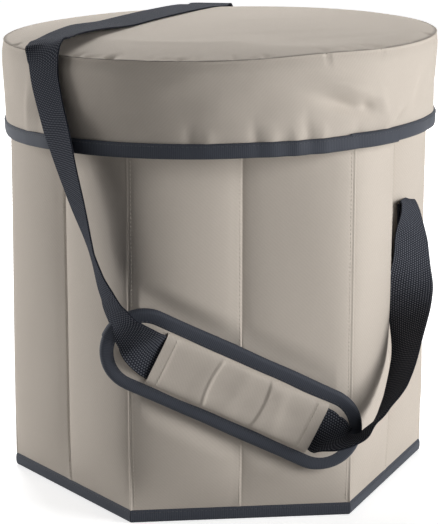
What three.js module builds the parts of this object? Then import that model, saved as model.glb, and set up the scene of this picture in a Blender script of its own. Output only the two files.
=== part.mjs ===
// Folding cooler stool: a padded hexagonal cool box whose walls fold flat, a round padded seat that
// lifts off as its lid, two base leaves that hold the box open, and a webbing strap with a shoulder pad.
// Millimetres, +Z up, front face towards -Y, origin on the floor below the middle of the seat.
import * as THREE from "three";

// Driving dimensions of the wall ring
const ridgeRadius = 180;
const wallTop = 349;
const pillowCrown = 4.5;
const pillowFade = 26;
const coverThickness = 3;
const boardThickness = 3;
const liningThickness = 1;
const layerGap = 0.3;
const cornerGap = 0.5;
const hingeClearance = 0.25;
const bindingHeight = 10.5;
const bindingProud = 0.8;
const hemDrop = 1.5;

// Base of the box
const floorGap = 0.4;
const bottomClothThickness = 1;
const leafThickness = 4;
const leafHalfWidth = 82;
const leafMeetingGap = 1.2;

// Seat, which is the lid
const seamRadius = 182.7;
const seatFoamEdge = 21.9;
const crownRise = 7;
const crownPower = 4;
const crownSoftness = 0.75;
const seatClothThickness = 1.4;
const seatBoardThickness = 6;
const seatEdgeGap = 5.7;
const seatLiningThickness = 1;
const skirtThickness = 1.6;
const skirtBulge = 4.3;
const skirtFlare = 6.9;
const skirtDrop = 74.5;
const skirtShoulderShare = 1 / 7;
const skirtBulgeShare = 1 / 4;
const lidBindingHeight = 12;
const lidBindingProud = 1.2;
const seatSegments = 48;

// Webbing and shoulder pad
const webbingWidth = 38;
const webbingThickness = 1.8;
const strapSteps = 30;
const loopSteps = 40;
const seatStrapSteps = 21;
const anchorSteps = 4;
const anchorBottom = 143;
const anchorTop = 246;
const anchorInset = 1;
const padLength = 228;
const padWidth = 69;
const padThickness = 6;
const padStandOff = 1;
const padTilt = THREE.MathUtils.degToRad(26);
const padCentreX = -8;
const padCentreZ = 113;
const padBindingWidth = 12;
const padBindingProud = 1.2;
const padEndSegments = 12;
const sleeveLength = 144;
const sleeveWidth = 45;
const sleeveOffset = 4;
const sleeveCloth = 1.2;
const sleeveSlot = 2.6;
const sleeveHem = 2.2;

// The way that each face looks, as a share of a full turn from +X
const faceTurnShares = {
  front: -3 / 12,
  right_front: -1 / 12,
  right_back: 1 / 12,
  back: 3 / 12,
  left_back: 5 / 12,
  left_front: 7 / 12,
};
const faceCount = Object.keys(faceTurnShares).length;
const halfFaceTurn = Math.PI / faceCount;

// Values that follow
const cornerSlope = Math.tan(halfFaceTurn);
const ridgeApothem = ridgeRadius * Math.cos(halfFaceTurn);
const coverBack = ridgeApothem - coverThickness;
const boardFront = coverBack - layerGap;
const boardBack = boardFront - boardThickness;
const liningFront = boardBack - layerGap;
const liningBack = liningFront - liningThickness;
const leafHingeApothem = liningBack - hingeClearance;
const halfFace = ridgeRadius * Math.sin(halfFaceTurn);
const clothBottom = floorGap;
const clothTop = clothBottom + bottomClothThickness;
const layerBottom = clothTop + layerGap;
const layerTop = wallTop - hemDrop;
const leafBottom = layerBottom;
const seatLiningBottom = wallTop + layerGap;
const seatBoardBottom = seatLiningBottom + seatLiningThickness + layerGap;
const seatFoamBottom = seatBoardBottom + seatBoardThickness + layerGap;
const seamHeight = seatFoamBottom + seatFoamEdge + layerGap + seatClothThickness;
const seatBoardRadius = seamRadius - seatEdgeGap;
const skirtBulgeRadius = seamRadius + skirtBulge;
const skirtHemRadius = seamRadius + skirtFlare;
const hemHeight = seamHeight - skirtDrop;
const padBack = ridgeApothem + pillowCrown + padStandOff;


const stool = new THREE.Group();

// Adds one named piece with its own material.
function piece(name, geometry, finish, parent = stool) {
  const material = new THREE.MeshStandardMaterial(finish);
  const mesh = new THREE.Mesh(geometry, material);
  mesh.name = name;
  parent.add(mesh);
  return mesh;
}

const fabricFinish = { color: 0xc4b8ad, roughness: 0.85, metalness: 0 };
const liningFinish = { color: 0xb9bec4, roughness: 0.4, metalness: 0 };
const tapeFinish = { color: 0x3b3e46, roughness: 0.8, metalness: 0 };
const webbingFinish = { color: 0x33363e, roughness: 0.75, metalness: 0 };
const boardFinish = { color: 0x8a6a48, roughness: 0.7, metalness: 0 };
const foamFinish = { color: 0xe6e2d6, roughness: 0.95, metalness: 0 };

// Builds an indexed geometry and turns its faces outwards if its volume comes out negative.
function closedGeometry(points, triangles) {
  let volume = 0;
  const crossed = new THREE.Vector3();
  for (const [a, b, c] of triangles) {
    volume += points[a].dot(crossed.crossVectors(points[b], points[c]));
  }
  const ordered = volume < 0 ? triangles.map(([a, b, c]) => [a, c, b]) : triangles;
  const geometry = new THREE.BufferGeometry();
  geometry.setFromPoints(points);
  geometry.setIndex(ordered.flat());
  geometry.computeVertexNormals();
  return geometry;
}

// Closes the space between two grids of points that have the same rows and columns.
function slabBetween(outer, inner) {
  const rows = outer.length;
  const columns = outer[0].length;
  const points = [...outer.flat(), ...inner.flat()];
  const layer = rows * columns;
  const at = (row, column) => row * columns + column;
  const triangles = [];
  const quad = (a, b, c, d) => triangles.push([a, b, c], [a, c, d]);
  for (let row = 0; row + 1 < rows; row += 1) {
    for (let column = 0; column + 1 < columns; column += 1) {
      const [a, b] = [at(row, column), at(row, column + 1)];
      const [c, d] = [at(row + 1, column + 1), at(row + 1, column)];
      quad(a, b, c, d);
      quad(layer + a, layer + d, layer + c, layer + b);
    }
  }
  const rim = [];
  for (let column = 0; column + 1 < columns; column += 1) rim.push(at(0, column));
  for (let row = 0; row + 1 < rows; row += 1) rim.push(at(row, columns - 1));
  for (let column = columns - 1; column > 0; column -= 1) rim.push(at(rows - 1, column));
  for (let row = rows - 1; row > 0; row -= 1) rim.push(at(row, 0));
  rim.forEach((a, index) => {
    const b = rim[(index + 1) % rim.length];
    quad(b, a, layer + a, layer + b);
  });
  return closedGeometry(points, triangles);
}

// A place on a face of the ring: along it from its middle, out from the axis, and up.
function onFace(face, along, out, height) {
  const turn = 2 * Math.PI * faceTurnShares[face];
  return new THREE.Vector3(
    out * Math.cos(turn) - along * Math.sin(turn),
    out * Math.sin(turn) + along * Math.cos(turn),
    height,
  );
}

// An end of a panel: a corner is mitred, the middle of a face is cut square.
function endAt(end, out) {
  if (end === 0) return 0;
  return end * (out * cornerSlope - cornerGap / 2);
}

// A flat layer of one wall panel, between two distances from the axis.
function panelLayer(face, from, to, inner, outer, bottom, top) {
  const clear = (end) => (end === 0 ? cornerGap / 2 : 0);
  const corners = [
    onFace(face, endAt(from, outer) + clear(from), outer, 0),
    onFace(face, endAt(to, outer) - clear(to), outer, 0),
    onFace(face, endAt(to, inner) - clear(to), inner, 0),
    onFace(face, endAt(from, inner) + clear(from), inner, 0),
  ];
  const shape = new THREE.Shape(corners.map((p) => new THREE.Vector2(p.x, p.y)));
  const geometry = new THREE.ExtrudeGeometry(shape, { depth: top - bottom, bevelEnabled: false });
  geometry.translate(0, 0, bottom);
  return geometry;
}

// Height of the padding over the line of the seams, at a share of the way from corner to middle.
function pillow(along, height) {
  const across = Math.min(1, Math.abs(along) / halfFace);
  const low = Math.min(1, (height - bindingHeight) / pillowFade);
  const high = Math.min(1, (wallTop - height) / pillowFade);
  const fade = Math.sin((Math.PI / 2) * Math.max(0, Math.min(low, high)));
  return pillowCrown * 4 * across * (1 - across) * fade;
}

const pillowSteps = 8;
const pillowRowShares = [0, 0.35, 1];

// The quilted outer cover of one body of the ring, from one end of a face to the other.
function padCover(face, from, to) {
  const bottom = bindingHeight + layerGap;
  const rise = pillowRowShares.map((share) => share * pillowFade);
  const heights = [...rise.map((h) => bottom + h), ...rise.map((h) => wallTop - h).reverse()];
  const steps = pillowSteps * Math.abs(to - from);
  const foldsMidway = from * to === 0;
  const clear = (share) => (share === 0 && foldsMidway ? Math.sign(from + to) * (cornerGap / 2) : 0);
  const row = (height, surface) =>
    Array.from({ length: steps + 1 }, (_, index) => {
      const share = from + ((to - from) * index) / steps;
      const out = surface(share * halfFace, height);
      const reach = out * cornerSlope - cornerGap / 2;
      return onFace(face, share * reach + clear(share), out, height);
    });
  const front = heights.map((height) => row(height, (along, z) => ridgeApothem + pillow(along, z)));
  const back = heights.map((height) => row(height, () => coverBack));
  return slabBetween(front, back);
}

// Wall ring: each body is a stretch of one face, named for the face and its place
const wallBodies = [
  { name: "front", face: "front", from: -1, to: 1 },
  { name: "back", face: "back", from: -1, to: 1 },
  { name: "right_front_outer", face: "right_front", from: -1, to: 0 },
  { name: "right_front_inner", face: "right_front", from: 0, to: 1 },
  { name: "right_back_inner", face: "right_back", from: -1, to: 0 },
  { name: "right_back_outer", face: "right_back", from: 0, to: 1 },
  { name: "left_back_outer", face: "left_back", from: -1, to: 0 },
  { name: "left_back_inner", face: "left_back", from: 0, to: 1 },
  { name: "left_front_inner", face: "left_front", from: -1, to: 0 },
  { name: "left_front_outer", face: "left_front", from: 0, to: 1 },
];

for (const { name, face, from, to } of wallBodies) {
  const bindingOuter = ridgeApothem + bindingProud;
  const binding = panelLayer(face, from, to, coverBack, bindingOuter, 0, bindingHeight);
  const lining = panelLayer(face, from, to, liningBack, liningFront, layerBottom, layerTop);
  piece(`${name}_cover`, padCover(face, from, to), fabricFinish);
  piece(`${name}_bottom_binding`, binding, tapeFinish);
  piece(`${name}_lining`, lining, liningFinish);
  const halves = from * to === 0 ? [[from, to]] : [[-1, 0], [0, 1]];
  for (const [start, end] of halves) {
    const side = halves.length === 1 ? "" : start < 0 ? "_left" : "_right";
    const board = panelLayer(face, start, end, boardBack, boardFront, layerBottom, layerTop);
    piece(`${name}${side}_board`, board, boardFinish);
  }
}

// Base: a cloth bottom inside the binding and two stiff leaves that meet in the middle
function bottomCloth() {
  const radius = (coverBack - layerGap) / Math.cos(halfFaceTurn);
  const corner = (index) => {
    const turn = 2 * index * halfFaceTurn;
    return new THREE.Vector2(radius * Math.cos(turn), radius * Math.sin(turn));
  };
  const shape = new THREE.Shape(Array.from({ length: faceCount }, (_, index) => corner(index)));
  const depth = bottomClothThickness;
  const geometry = new THREE.ExtrudeGeometry(shape, { depth, bevelEnabled: false });
  geometry.translate(0, 0, clothBottom);
  return geometry;
}

function baseLeaf(side) {
  const reach = leafHingeApothem - leafMeetingGap / 2;
  const geometry = new THREE.BoxGeometry(2 * leafHalfWidth, reach, leafThickness);
  const middle = side * (leafHingeApothem - reach / 2);
  geometry.translate(0, middle, leafBottom + leafThickness / 2);
  return geometry;
}

piece("bottom_cloth", bottomCloth(), liningFinish);
piece("base_leaf_front", baseLeaf(-1), boardFinish);
piece("base_leaf_back", baseLeaf(1), boardFinish);

// Height of the seat's top surface at a distance from its middle
function seatTop(radius) {
  const share = Math.min(1, radius / seamRadius) ** crownPower;
  return seamHeight + crownRise * (1 - share) ** crownSoftness;
}

// Turns a closed outline of [radius, height] pairs about the axis, whichever way round it is listed.
function turned(outline) {
  const area = outline.reduce((sum, [radius, height], index) => {
    const [nextRadius, nextHeight] = outline[(index + 1) % outline.length];
    return sum + radius * nextHeight - nextRadius * height;
  }, 0);
  const ordered = area > 0 ? outline : [...outline].reverse();
  const points = ordered.map(([radius, height]) => new THREE.Vector2(radius, height));
  const geometry = new THREE.LatheGeometry(points, seatSegments);
  geometry.rotateX(Math.PI / 2);
  return geometry;
}

const crownShares = [0, 0.35, 0.62, 0.78, 0.89, 0.96];

function seatPanel() {
  const edge = seamRadius;
  const rim = [edge, seamHeight - seatClothThickness];
  const under = crownShares.map((share) => [share * edge, seatTop(share * edge) - seatClothThickness]);
  const over = crownShares.map((share) => [share * edge, seatTop(share * edge)]).reverse();
  return turned([...under, rim, [edge, seamHeight], ...over]);
}

function seatFoam() {
  const scale = seatBoardRadius / seamRadius;
  const drop = seatClothThickness + layerGap;
  const shares = crownShares.map((share) => share * scale);
  const dome = shares.map((share) => [share * seamRadius, seatTop(share * seamRadius) - drop]);
  const edge = [seatBoardRadius, seamHeight - drop];
  return turned([[0, seatFoamBottom], [seatBoardRadius, seatFoamBottom], edge, ...dome.reverse()]);
}

// The skirt hangs from the seam, bulges a little under it and runs down to the binding.
function seatSkirt() {
  const top = seamHeight - seatClothThickness - layerGap;
  const hem = hemHeight + layerGap;
  const shoulder = top - (top - hem) * skirtShoulderShare;
  const bulge = top - (top - hem) * skirtBulgeShare;
  const outside = [
    [seamRadius, top],
    [(seamRadius + skirtBulgeRadius) / 2, shoulder],
    [skirtBulgeRadius, bulge],
    [skirtHemRadius, hem],
  ];
  const inside = outside.map(([radius, height]) => [radius - skirtThickness, height]).reverse();
  return turned([...inside, ...outside, inside[0]]);
}

// A folded tape over the skirt's hem: a band outside it and a band inside it, joined below.
function lidBinding() {
  const outer = skirtHemRadius + lidBindingProud + layerGap;
  const inner = skirtHemRadius + layerGap;
  const top = hemHeight + lidBindingHeight;
  return turned([[inner, hemHeight], [outer, hemHeight], [outer, top], [inner, top], [inner, hemHeight]]);
}

function disc(radius, bottom, thickness) {
  const geometry = new THREE.CylinderGeometry(radius, radius, thickness, seatSegments);
  geometry.rotateX(Math.PI / 2);
  geometry.translate(0, 0, bottom + thickness / 2);
  return geometry;
}

piece("seat_lining", disc(seatBoardRadius, seatLiningBottom, seatLiningThickness), liningFinish);
piece("seat_board", disc(seatBoardRadius, seatBoardBottom, seatBoardThickness), boardFinish);
piece("seat_foam", seatFoam(), foamFinish);
piece("seat_top_panel", seatPanel(), fabricFinish);
piece("seat_skirt", seatSkirt(), fabricFinish);
piece("seat_binding", lidBinding(), tapeFinish);

// A flat strip carried along stations, each a middle point and a vector across the strip.
function ribbon(stations, thickness) {
  const outer = [];
  const inner = [];
  stations.forEach(({ middle, across }, index) => {
    const before = stations[Math.max(0, index - 1)].middle;
    const after = stations[Math.min(stations.length - 1, index + 1)].middle;
    const ahead = after.clone().sub(before);
    const normal = across.clone().cross(ahead).setLength(thickness / 2);
    const edge = (side) => middle.clone().addScaledVector(across, side / 2);
    const corner = (side, lift) => edge(side).addScaledVector(normal, lift);
    outer.push([corner(-1, 1), corner(1, 1)]);
    inner.push([corner(-1, -1), corner(1, -1)]);
  });
  return slabBetween(outer, inner);
}

// Smooth stations through hand-chosen ones.
function smoothed(stations, count) {
  const middles = new THREE.CatmullRomCurve3(stations.map((s) => s.middle));
  const acrosses = new THREE.CatmullRomCurve3(stations.map((s) => s.across));
  return Array.from({ length: count + 1 }, (_, index) => ({
    middle: middles.getPoint(index / count),
    across: acrosses.getPoint(index / count),
  }));
}

// Stations as shares: the middle of the ridge radius and the wall's height, across of the webbing width.
function strapStations(shares) {
  return shares.map(([x, y, z, acrossX, acrossY, acrossZ]) => ({
    middle: new THREE.Vector3(x * ridgeRadius, y * ridgeRadius, z * wallTop),
    across: new THREE.Vector3(acrossX, acrossY, acrossZ).multiplyScalar(webbingWidth),
  }));
}

// From the front left of the lid's skirt down to the pad, where it runs on through the sleeve
const strapLeftShares = [
  [-0.845, -0.634, 1.062, 0.56, -0.82, 0.1],
  [-0.843, -0.638, 1.023, 0.55, -0.82, 0.14],
  [-0.828, -0.682, 0.981, 0.47, -0.87, 0.15],
  [-0.793, -0.78, 0.896, 0.36, -0.92, 0.15],
  [-0.757, -0.817, 0.833, 0.19, -0.97, 0.18],
  [-0.707, -0.861, 0.724, 0.13, -0.97, 0.21],
  [-0.672, -0.889, 0.658, 0.04, -0.97, 0.23],
  [-0.609, -0.939, 0.571, 0.11, -0.89, 0.29],
  [-0.559, -1.006, 0.515, 0.2, -0.56, 0.42],
  [-0.51, -1.006, 0.481, 0.35, -0.36, 0.52],
  [-0.446, -0.993, 0.448, 0.42, -0.14, 0.76],
];

// From the right end of the sleeve round to the top of the loop at the right anchor
const strapRightShares = [
  [0.446, -0.998, 0.215, 0.16, 0.55, 0.23],
  [0.529, -0.995, 0.218, 0.15, 0.52, 0.13],
  [0.601, -0.93, 0.241, 0.15, 0.8, -0.01],
  [0.673, -0.811, 0.259, -0.14, 0.96, -0.25],
  [0.723, -0.739, 0.307, -0.22, 0.95, -0.22],
  [0.768, -0.68, 0.358, -0.35, 0.91, -0.21],
  [0.802, -0.605, 0.41, -0.57, 0.74, -0.16],
  [0.829, -0.525, 0.479, -0.79, 0.26, -0.11],
  [0.85, -0.455, 0.551, -0.92, -0.37, 0.05],
  [0.852, -0.405, 0.62, -0.8, -0.58, 0.05],
  [0.852, -0.375, 0.68, -0.58, -0.81, 0.02],
  [0.84, -0.363, 0.706, -0.5, -0.866, 0],
  [0.83, -0.357, 0.712, -0.5, -0.866, 0],
];

// From the back rim of the lid down, slack, to the loop at the left anchor
const strapBackShares = [
  [0.09, 1.048, 1.05, -0.98, 0.1, 0.1],
  [0.06, 1.067, 0.96, -0.97, 0, 0.2],
  [0, 1.073, 0.84, -0.95, 0, 0.3],
  [-0.12, 1.06, 0.7, -0.85, -0.1, 0.5],
  [-0.3, 1.0, 0.585, -0.72, -0.25, 0.64],
  [-0.48, 0.9, 0.53, -0.6, -0.5, 0.6],
  [-0.64, 0.76, 0.525, -0.5, -0.75, 0.4],
  [-0.77, 0.61, 0.55, -0.5, -0.8, 0.25],
  [-0.85, 0.5, 0.6, -0.5, -0.84, 0.1],
  [-0.868, 0.43, 0.66, -0.5, -0.866, 0],
  [-0.852, 0.375, 0.695, -0.5, -0.866, 0],
  [-0.84, 0.363, 0.706, -0.5, -0.866, 0],
  [-0.83, 0.357, 0.712, -0.5, -0.866, 0],
];

// Over the seat, from its front left rim to its back rim: shares of the seam's radius
const strapTopShares = [
  [-0.8, -0.612, 0.585, -0.81],
  [-0.775, -0.47, 0.78, -0.62],
  [-0.7, -0.28, 0.87, -0.49],
  [-0.58, -0.08, 0.87, -0.49],
  [-0.4, 0.19, 0.86, -0.51],
  [-0.19, 0.5, 0.86, -0.51],
  [-0.01, 0.77, 0.88, -0.47],
  [0.075, 0.95, 0.95, -0.3],
];

function strapOverSeat() {
  const rise = layerGap + webbingThickness / 2;
  const stations = strapTopShares.map(([x, y, acrossX, acrossY]) => {
    const [px, py] = [x * seamRadius, y * seamRadius];
    const across = new THREE.Vector3(acrossX, acrossY, 0).multiplyScalar(webbingWidth);
    const edgeAt = (side) => Math.hypot(px + (side * across.x) / 2, py + (side * across.y) / 2);
    const nearest = Math.min(edgeAt(-1), edgeAt(1), Math.hypot(px, py));
    const height = seatTop(nearest);
    return { middle: new THREE.Vector3(px, py, height + rise), across };
  });
  return ribbon(smoothed(stations, seatStrapSteps), webbingThickness);
}

// The sewn end of the strap, flat on the padding beside the middle crease of a face.
function strapAnchor(face) {
  const heights = [anchorBottom, anchorTop];
  const row = (height, lift) =>
    Array.from({ length: anchorSteps + 1 }, (_, index) => {
      const along = anchorInset + (webbingWidth * index) / anchorSteps;
      return onFace(face, along, ridgeApothem + pillow(along, height) + lift, height);
    });
  const front = heights.map((height) => row(height, layerGap + webbingThickness));
  const back = heights.map((height) => row(height, layerGap));
  return slabBetween(front, back);
}

// A place in the pad's own plane: along it, up across it, and out of it.
function inPad(along, up, out) {
  return new THREE.Vector3(
    padCentreX + along * Math.cos(padTilt) + up * Math.sin(padTilt),
    -padBack - out,
    padCentreZ - along * Math.sin(padTilt) + up * Math.cos(padTilt),
  );
}

// A station of the webbing inside the sleeve.
function sleeveStation(along) {
  const out = padThickness + layerGap + sleeveSlot / 2;
  const across = inPad(along, webbingWidth / 2, out).sub(inPad(along, -webbingWidth / 2, out));
  return { middle: inPad(along, 0, out), across };
}

const sleeveReach = sleeveLength / 2 + layerGap;
const sleeveStart = sleeveStation(sleeveOffset - sleeveReach);
const sleeveEnd = sleeveStation(sleeveOffset + sleeveReach);
const rightStart = [1, 2].map((step) => sleeveStation(sleeveOffset + sleeveReach + step * sleeveSlot));
const leftHang = smoothed([...strapStations(strapLeftShares), sleeveStart], strapSteps);
const leftStations = [...leftHang, sleeveEnd];
const rightStations = smoothed([...rightStart, ...strapStations(strapRightShares)], loopSteps);
const backStations = smoothed(strapStations(strapBackShares), strapSteps);
piece("strap_over_seat", strapOverSeat(), webbingFinish);
piece("strap_left_run", ribbon(leftStations, webbingThickness), webbingFinish);
piece("strap_right_run", ribbon(rightStations, webbingThickness), webbingFinish);
piece("strap_back_run", ribbon(backStations, webbingThickness), webbingFinish);
piece("strap_right_anchor", strapAnchor("right_front"), webbingFinish);
piece("strap_left_anchor", strapAnchor("left_back"), webbingFinish);

// Shoulder pad: drawn in its own plane, x along it and z out of it, then tilted across the front
const padPlane = new THREE.Group();
padPlane.position.set(padCentreX, -padBack, padCentreZ);
padPlane.rotation.y = padTilt;
const padFlat = new THREE.Group();
padFlat.rotation.x = Math.PI / 2;
padPlane.add(padFlat);
stool.add(padPlane);

// A strip with round ends, inset from the pad's outline.
function padOutline(path, inset) {
  const radius = padWidth / 2 - inset;
  const straight = (padLength - padWidth) / 2;
  path.moveTo(-straight, -radius);
  path.lineTo(straight, -radius);
  path.absarc(straight, 0, radius, -Math.PI / 2, Math.PI / 2, false);
  path.lineTo(-straight, radius);
  path.absarc(-straight, 0, radius, Math.PI / 2, (3 * Math.PI) / 2, false);
  return path;
}

function padSlab(shape, depth, lift) {
  const options = { depth, bevelEnabled: false, curveSegments: padEndSegments };
  const geometry = new THREE.ExtrudeGeometry(shape, options);
  geometry.translate(0, 0, lift);
  return geometry;
}

function padBase() {
  return padSlab(padOutline(new THREE.Shape(), padBindingWidth + layerGap), padThickness, 0);
}

function padBinding() {
  const ring = padOutline(new THREE.Shape(), 0);
  ring.holes.push(padOutline(new THREE.Path(), padBindingWidth));
  return padSlab(ring, padThickness + padBindingProud, 0);
}

// The sleeve is a flat tunnel over the webbing, open at both ends and closed below by the base.
function padSleeve() {
  const half = sleeveWidth / 2 - layerGap;
  const slotHalf = half - sleeveHem;
  const top = sleeveSlot + sleeveCloth;
  const section = new THREE.Shape([
    new THREE.Vector2(-half, 0),
    new THREE.Vector2(-slotHalf, 0),
    new THREE.Vector2(-slotHalf, sleeveSlot),
    new THREE.Vector2(slotHalf, sleeveSlot),
    new THREE.Vector2(slotHalf, 0),
    new THREE.Vector2(half, 0),
    new THREE.Vector2(half, top),
    new THREE.Vector2(-half, top),
  ]);
  const geometry = new THREE.ExtrudeGeometry(section, { depth: sleeveLength, bevelEnabled: false });
  const along = new THREE.Vector3(1, 0, 0);
  const up = new THREE.Vector3(0, 1, 0);
  const out = new THREE.Vector3(0, 0, 1);
  geometry.applyMatrix4(new THREE.Matrix4().makeBasis(up, out, along));
  geometry.translate(sleeveOffset - sleeveLength / 2, 0, padThickness + layerGap);
  return geometry;
}

piece("pad_base", padBase(), fabricFinish, padFlat);
piece("pad_binding", padBinding(), tapeFinish, padFlat);
piece("pad_sleeve", padSleeve(), fabricFinish, padFlat);

export default stool;
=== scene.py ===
"""Folding cooler stool: the looks of its cloth, tapes, webbing and stitching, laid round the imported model.

Everything is in metres, in the frame's own axes: +Z up, front face towards -Y.
"""

import logging
import math
from collections.abc import Callable
from dataclasses import dataclass
from enum import Enum

import bmesh
import bpy
import numpy as np
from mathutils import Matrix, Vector


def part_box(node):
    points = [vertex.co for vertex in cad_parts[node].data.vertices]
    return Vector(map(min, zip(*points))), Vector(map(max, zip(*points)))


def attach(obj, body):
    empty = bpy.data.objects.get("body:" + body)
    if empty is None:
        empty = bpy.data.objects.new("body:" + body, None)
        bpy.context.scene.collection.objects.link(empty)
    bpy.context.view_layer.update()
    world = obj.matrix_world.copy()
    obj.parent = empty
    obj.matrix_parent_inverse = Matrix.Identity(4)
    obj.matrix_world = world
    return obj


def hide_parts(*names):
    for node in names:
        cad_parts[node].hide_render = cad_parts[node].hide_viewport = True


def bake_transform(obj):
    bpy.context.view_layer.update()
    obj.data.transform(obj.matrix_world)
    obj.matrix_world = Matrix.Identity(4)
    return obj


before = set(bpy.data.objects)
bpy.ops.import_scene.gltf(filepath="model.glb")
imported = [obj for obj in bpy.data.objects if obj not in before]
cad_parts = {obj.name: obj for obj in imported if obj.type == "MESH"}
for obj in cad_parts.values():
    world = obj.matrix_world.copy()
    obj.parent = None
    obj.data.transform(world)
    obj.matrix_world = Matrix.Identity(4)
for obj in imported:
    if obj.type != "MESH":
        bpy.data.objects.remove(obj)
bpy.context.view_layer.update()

log = logging.getLogger("cooler_stool")
MM = 0.001
HALF_TURN = math.pi
FULL_TURN = 2 * math.pi
Grid = np.ndarray
Piece = bpy.types.Object
Socket = bpy.types.NodeSocket


class Face(Enum):
    """The six faces of the box, each with the way that it looks, in degrees from +X."""

    FRONT = -90.0
    RIGHT_FRONT = -30.0
    RIGHT_BACK = 30.0
    BACK = 90.0
    LEFT_BACK = 150.0
    LEFT_FRONT = 210.0

    @property
    def out(self) -> Grid:
        """The unit vector that points away from the axis."""
        turn = math.radians(self.value)
        return np.array([math.cos(turn), math.sin(turn), 0.0])

    @property
    def along(self) -> Grid:
        """The unit vector that runs along the face, to the right seen from outside."""
        turn = math.radians(self.value)
        return np.array([-math.sin(turn), math.cos(turn), 0.0])


@dataclass(frozen=True)
class WallBodies:
    """The bodies that a face belongs to, one or two that a crease joins, and the nodes' names in order."""

    face: Face
    bodies: tuple[str, ...]
    nodes: tuple[str, ...]

    @property
    def name(self) -> str:
        """The face's name, as the pieces' names begin."""
        return self.face.name.lower()


WALLS = (
    WallBodies(Face.FRONT, ("front_wall",), ("front",)),
    WallBodies(Face.BACK, ("back_wall",), ("back",)),
    WallBodies(Face.RIGHT_FRONT, ("right_front_outer_wall", "right_front_inner_wall"),
               ("right_front_outer", "right_front_inner")),
    WallBodies(Face.RIGHT_BACK, ("right_back_inner_wall", "right_back_outer_wall"),
               ("right_back_inner", "right_back_outer")),
    WallBodies(Face.LEFT_BACK, ("left_back_outer_wall", "left_back_inner_wall"),
               ("left_back_outer", "left_back_inner")),
    WallBodies(Face.LEFT_FRONT, ("left_front_inner_wall", "left_front_outer_wall"),
               ("left_front_inner", "left_front_outer")),
)

# Sizes shared by several pieces, read from the frame where it has them
_, COVER_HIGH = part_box("front_cover")
_, LINING_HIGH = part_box("front_lining")
_, TOP_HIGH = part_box("seat_top_panel")
RIDGE_RADIUS = 180 * MM
RIDGE_APOTHEM = RIDGE_RADIUS * math.cos(math.pi / 6)
HALF_FACE = RIDGE_RADIUS / 2
CORNER_SLOPE = math.tan(math.pi / 6)
COVER_BACK = -COVER_HIGH.y
WALL_TOP = COVER_HIGH.z
BINDING_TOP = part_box("front_bottom_binding")[1].z
LINING_BACK = -LINING_HIGH.y
SEAM_RADIUS = TOP_HIGH.x
SEAT_TOP = TOP_HIGH.z
SKIRT_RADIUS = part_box("seat_skirt")[1].x
HEM_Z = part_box("seat_binding")[0].z
WEBBING_WIDTH = 38 * MM
WEBBING_THICKNESS = 1.8 * MM


def smoothstep(value: Grid, low: float, high: float) -> Grid:
    """A smooth rise from 0 at low to 1 at high: 3t^2 - 2t^3 of the clamped share t."""
    share = np.clip((value - low) / (high - low), 0.0, 1.0)
    return share * share * (3 - 2 * share)


def bump(value: Grid, centre: float, width: float) -> Grid:
    """A bell curve round centre: e to the minus square of the distance in widths."""
    return np.exp(-(((value - centre) / width) ** 2))


def turned(turn: Grid, centre: float) -> Grid:
    """How far a turn is from a centre, in radians between minus and plus half a turn."""
    return np.angle(np.exp(1j * (turn - centre)))


def polar(radius: Grid, turn: Grid, height: Grid) -> Grid:
    """Points round the axis, from their radius, turn and height."""
    return np.stack(np.broadcast_arrays(radius * np.cos(turn), radius * np.sin(turn), height), -1)


def ripple(u: Grid, v: Grid, seed: int, count: int = 7, finest: float = 5.0) -> Grid:
    """Soft cloth unevenness: a sum of sine waves with seeded directions, each weaker as it gets finer.

    Args:
        u, v: the two parameters, about 0 to 1 over a piece.
        seed: fixes the waves.
        count: how many waves are added.
        finest: the highest number of waves over a piece.

    Returns:
        Values between about -1 and 1.
    """
    random = np.random.default_rng(seed)
    total = np.zeros(np.broadcast(u, v).shape)
    weight = 0.0
    for _ in range(count):
        waves = random.uniform(0.6, finest)
        turn, phase = random.uniform(0, FULL_TURN, 2)
        strength = 1.0 / waves
        total = total + strength * np.sin(
            FULL_TURN * waves * (u * math.cos(turn) + v * math.sin(turn)) + phase)
        weight += strength
    return total / weight * 1.6


def catmull_rom(points: Grid, count: int) -> Grid:
    """A smooth curve through points, spaced by the square root of their distances (centripetal).

    Args:
        points: one row for each point: its place, and any more values that are carried along.
        count: the number of samples, both ends included.

    Returns:
        count rows on the curve, evenly spread over the knots.
    """
    first = 2 * points[0] - points[1]
    last = 2 * points[-1] - points[-2]
    padded = np.vstack([first, points, last])
    gaps = np.linalg.norm(np.diff(padded[:, :3], axis=0), axis=1)
    knots = np.concatenate([[0.0], np.cumsum(np.maximum(gaps, 1e-6) ** 0.5)])
    where = np.linspace(knots[1], knots[-2], count)
    index = np.clip(np.searchsorted(knots, where, side="right") - 1, 1, len(knots) - 3)
    t0, t1, t2, t3 = (knots[index + step][:, None] for step in (-1, 0, 1, 2))
    p0, p1, p2, p3 = (padded[index + step] for step in (-1, 0, 1, 2))
    t = where[:, None]
    a1 = (t1 - t) / (t1 - t0) * p0 + (t - t0) / (t1 - t0) * p1
    a2 = (t2 - t) / (t2 - t1) * p1 + (t - t1) / (t2 - t1) * p2
    a3 = (t3 - t) / (t3 - t2) * p2 + (t - t2) / (t3 - t2) * p3
    b1 = (t2 - t) / (t2 - t0) * a1 + (t - t0) / (t2 - t0) * a2
    b2 = (t3 - t) / (t3 - t1) * a2 + (t - t1) / (t3 - t1) * a3
    return (t2 - t) / (t2 - t1) * b1 + (t - t1) / (t2 - t1) * b2


def unit(vectors: Grid) -> Grid:
    """Each row made one long."""
    return vectors / np.maximum(np.linalg.norm(vectors, axis=-1, keepdims=True), 1e-12)


def arc_length(points: Grid) -> Grid:
    """The distance along a line of points, from its first one."""
    return np.concatenate([[0.0], np.cumsum(np.linalg.norm(np.diff(points, axis=0), axis=1))])


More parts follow.
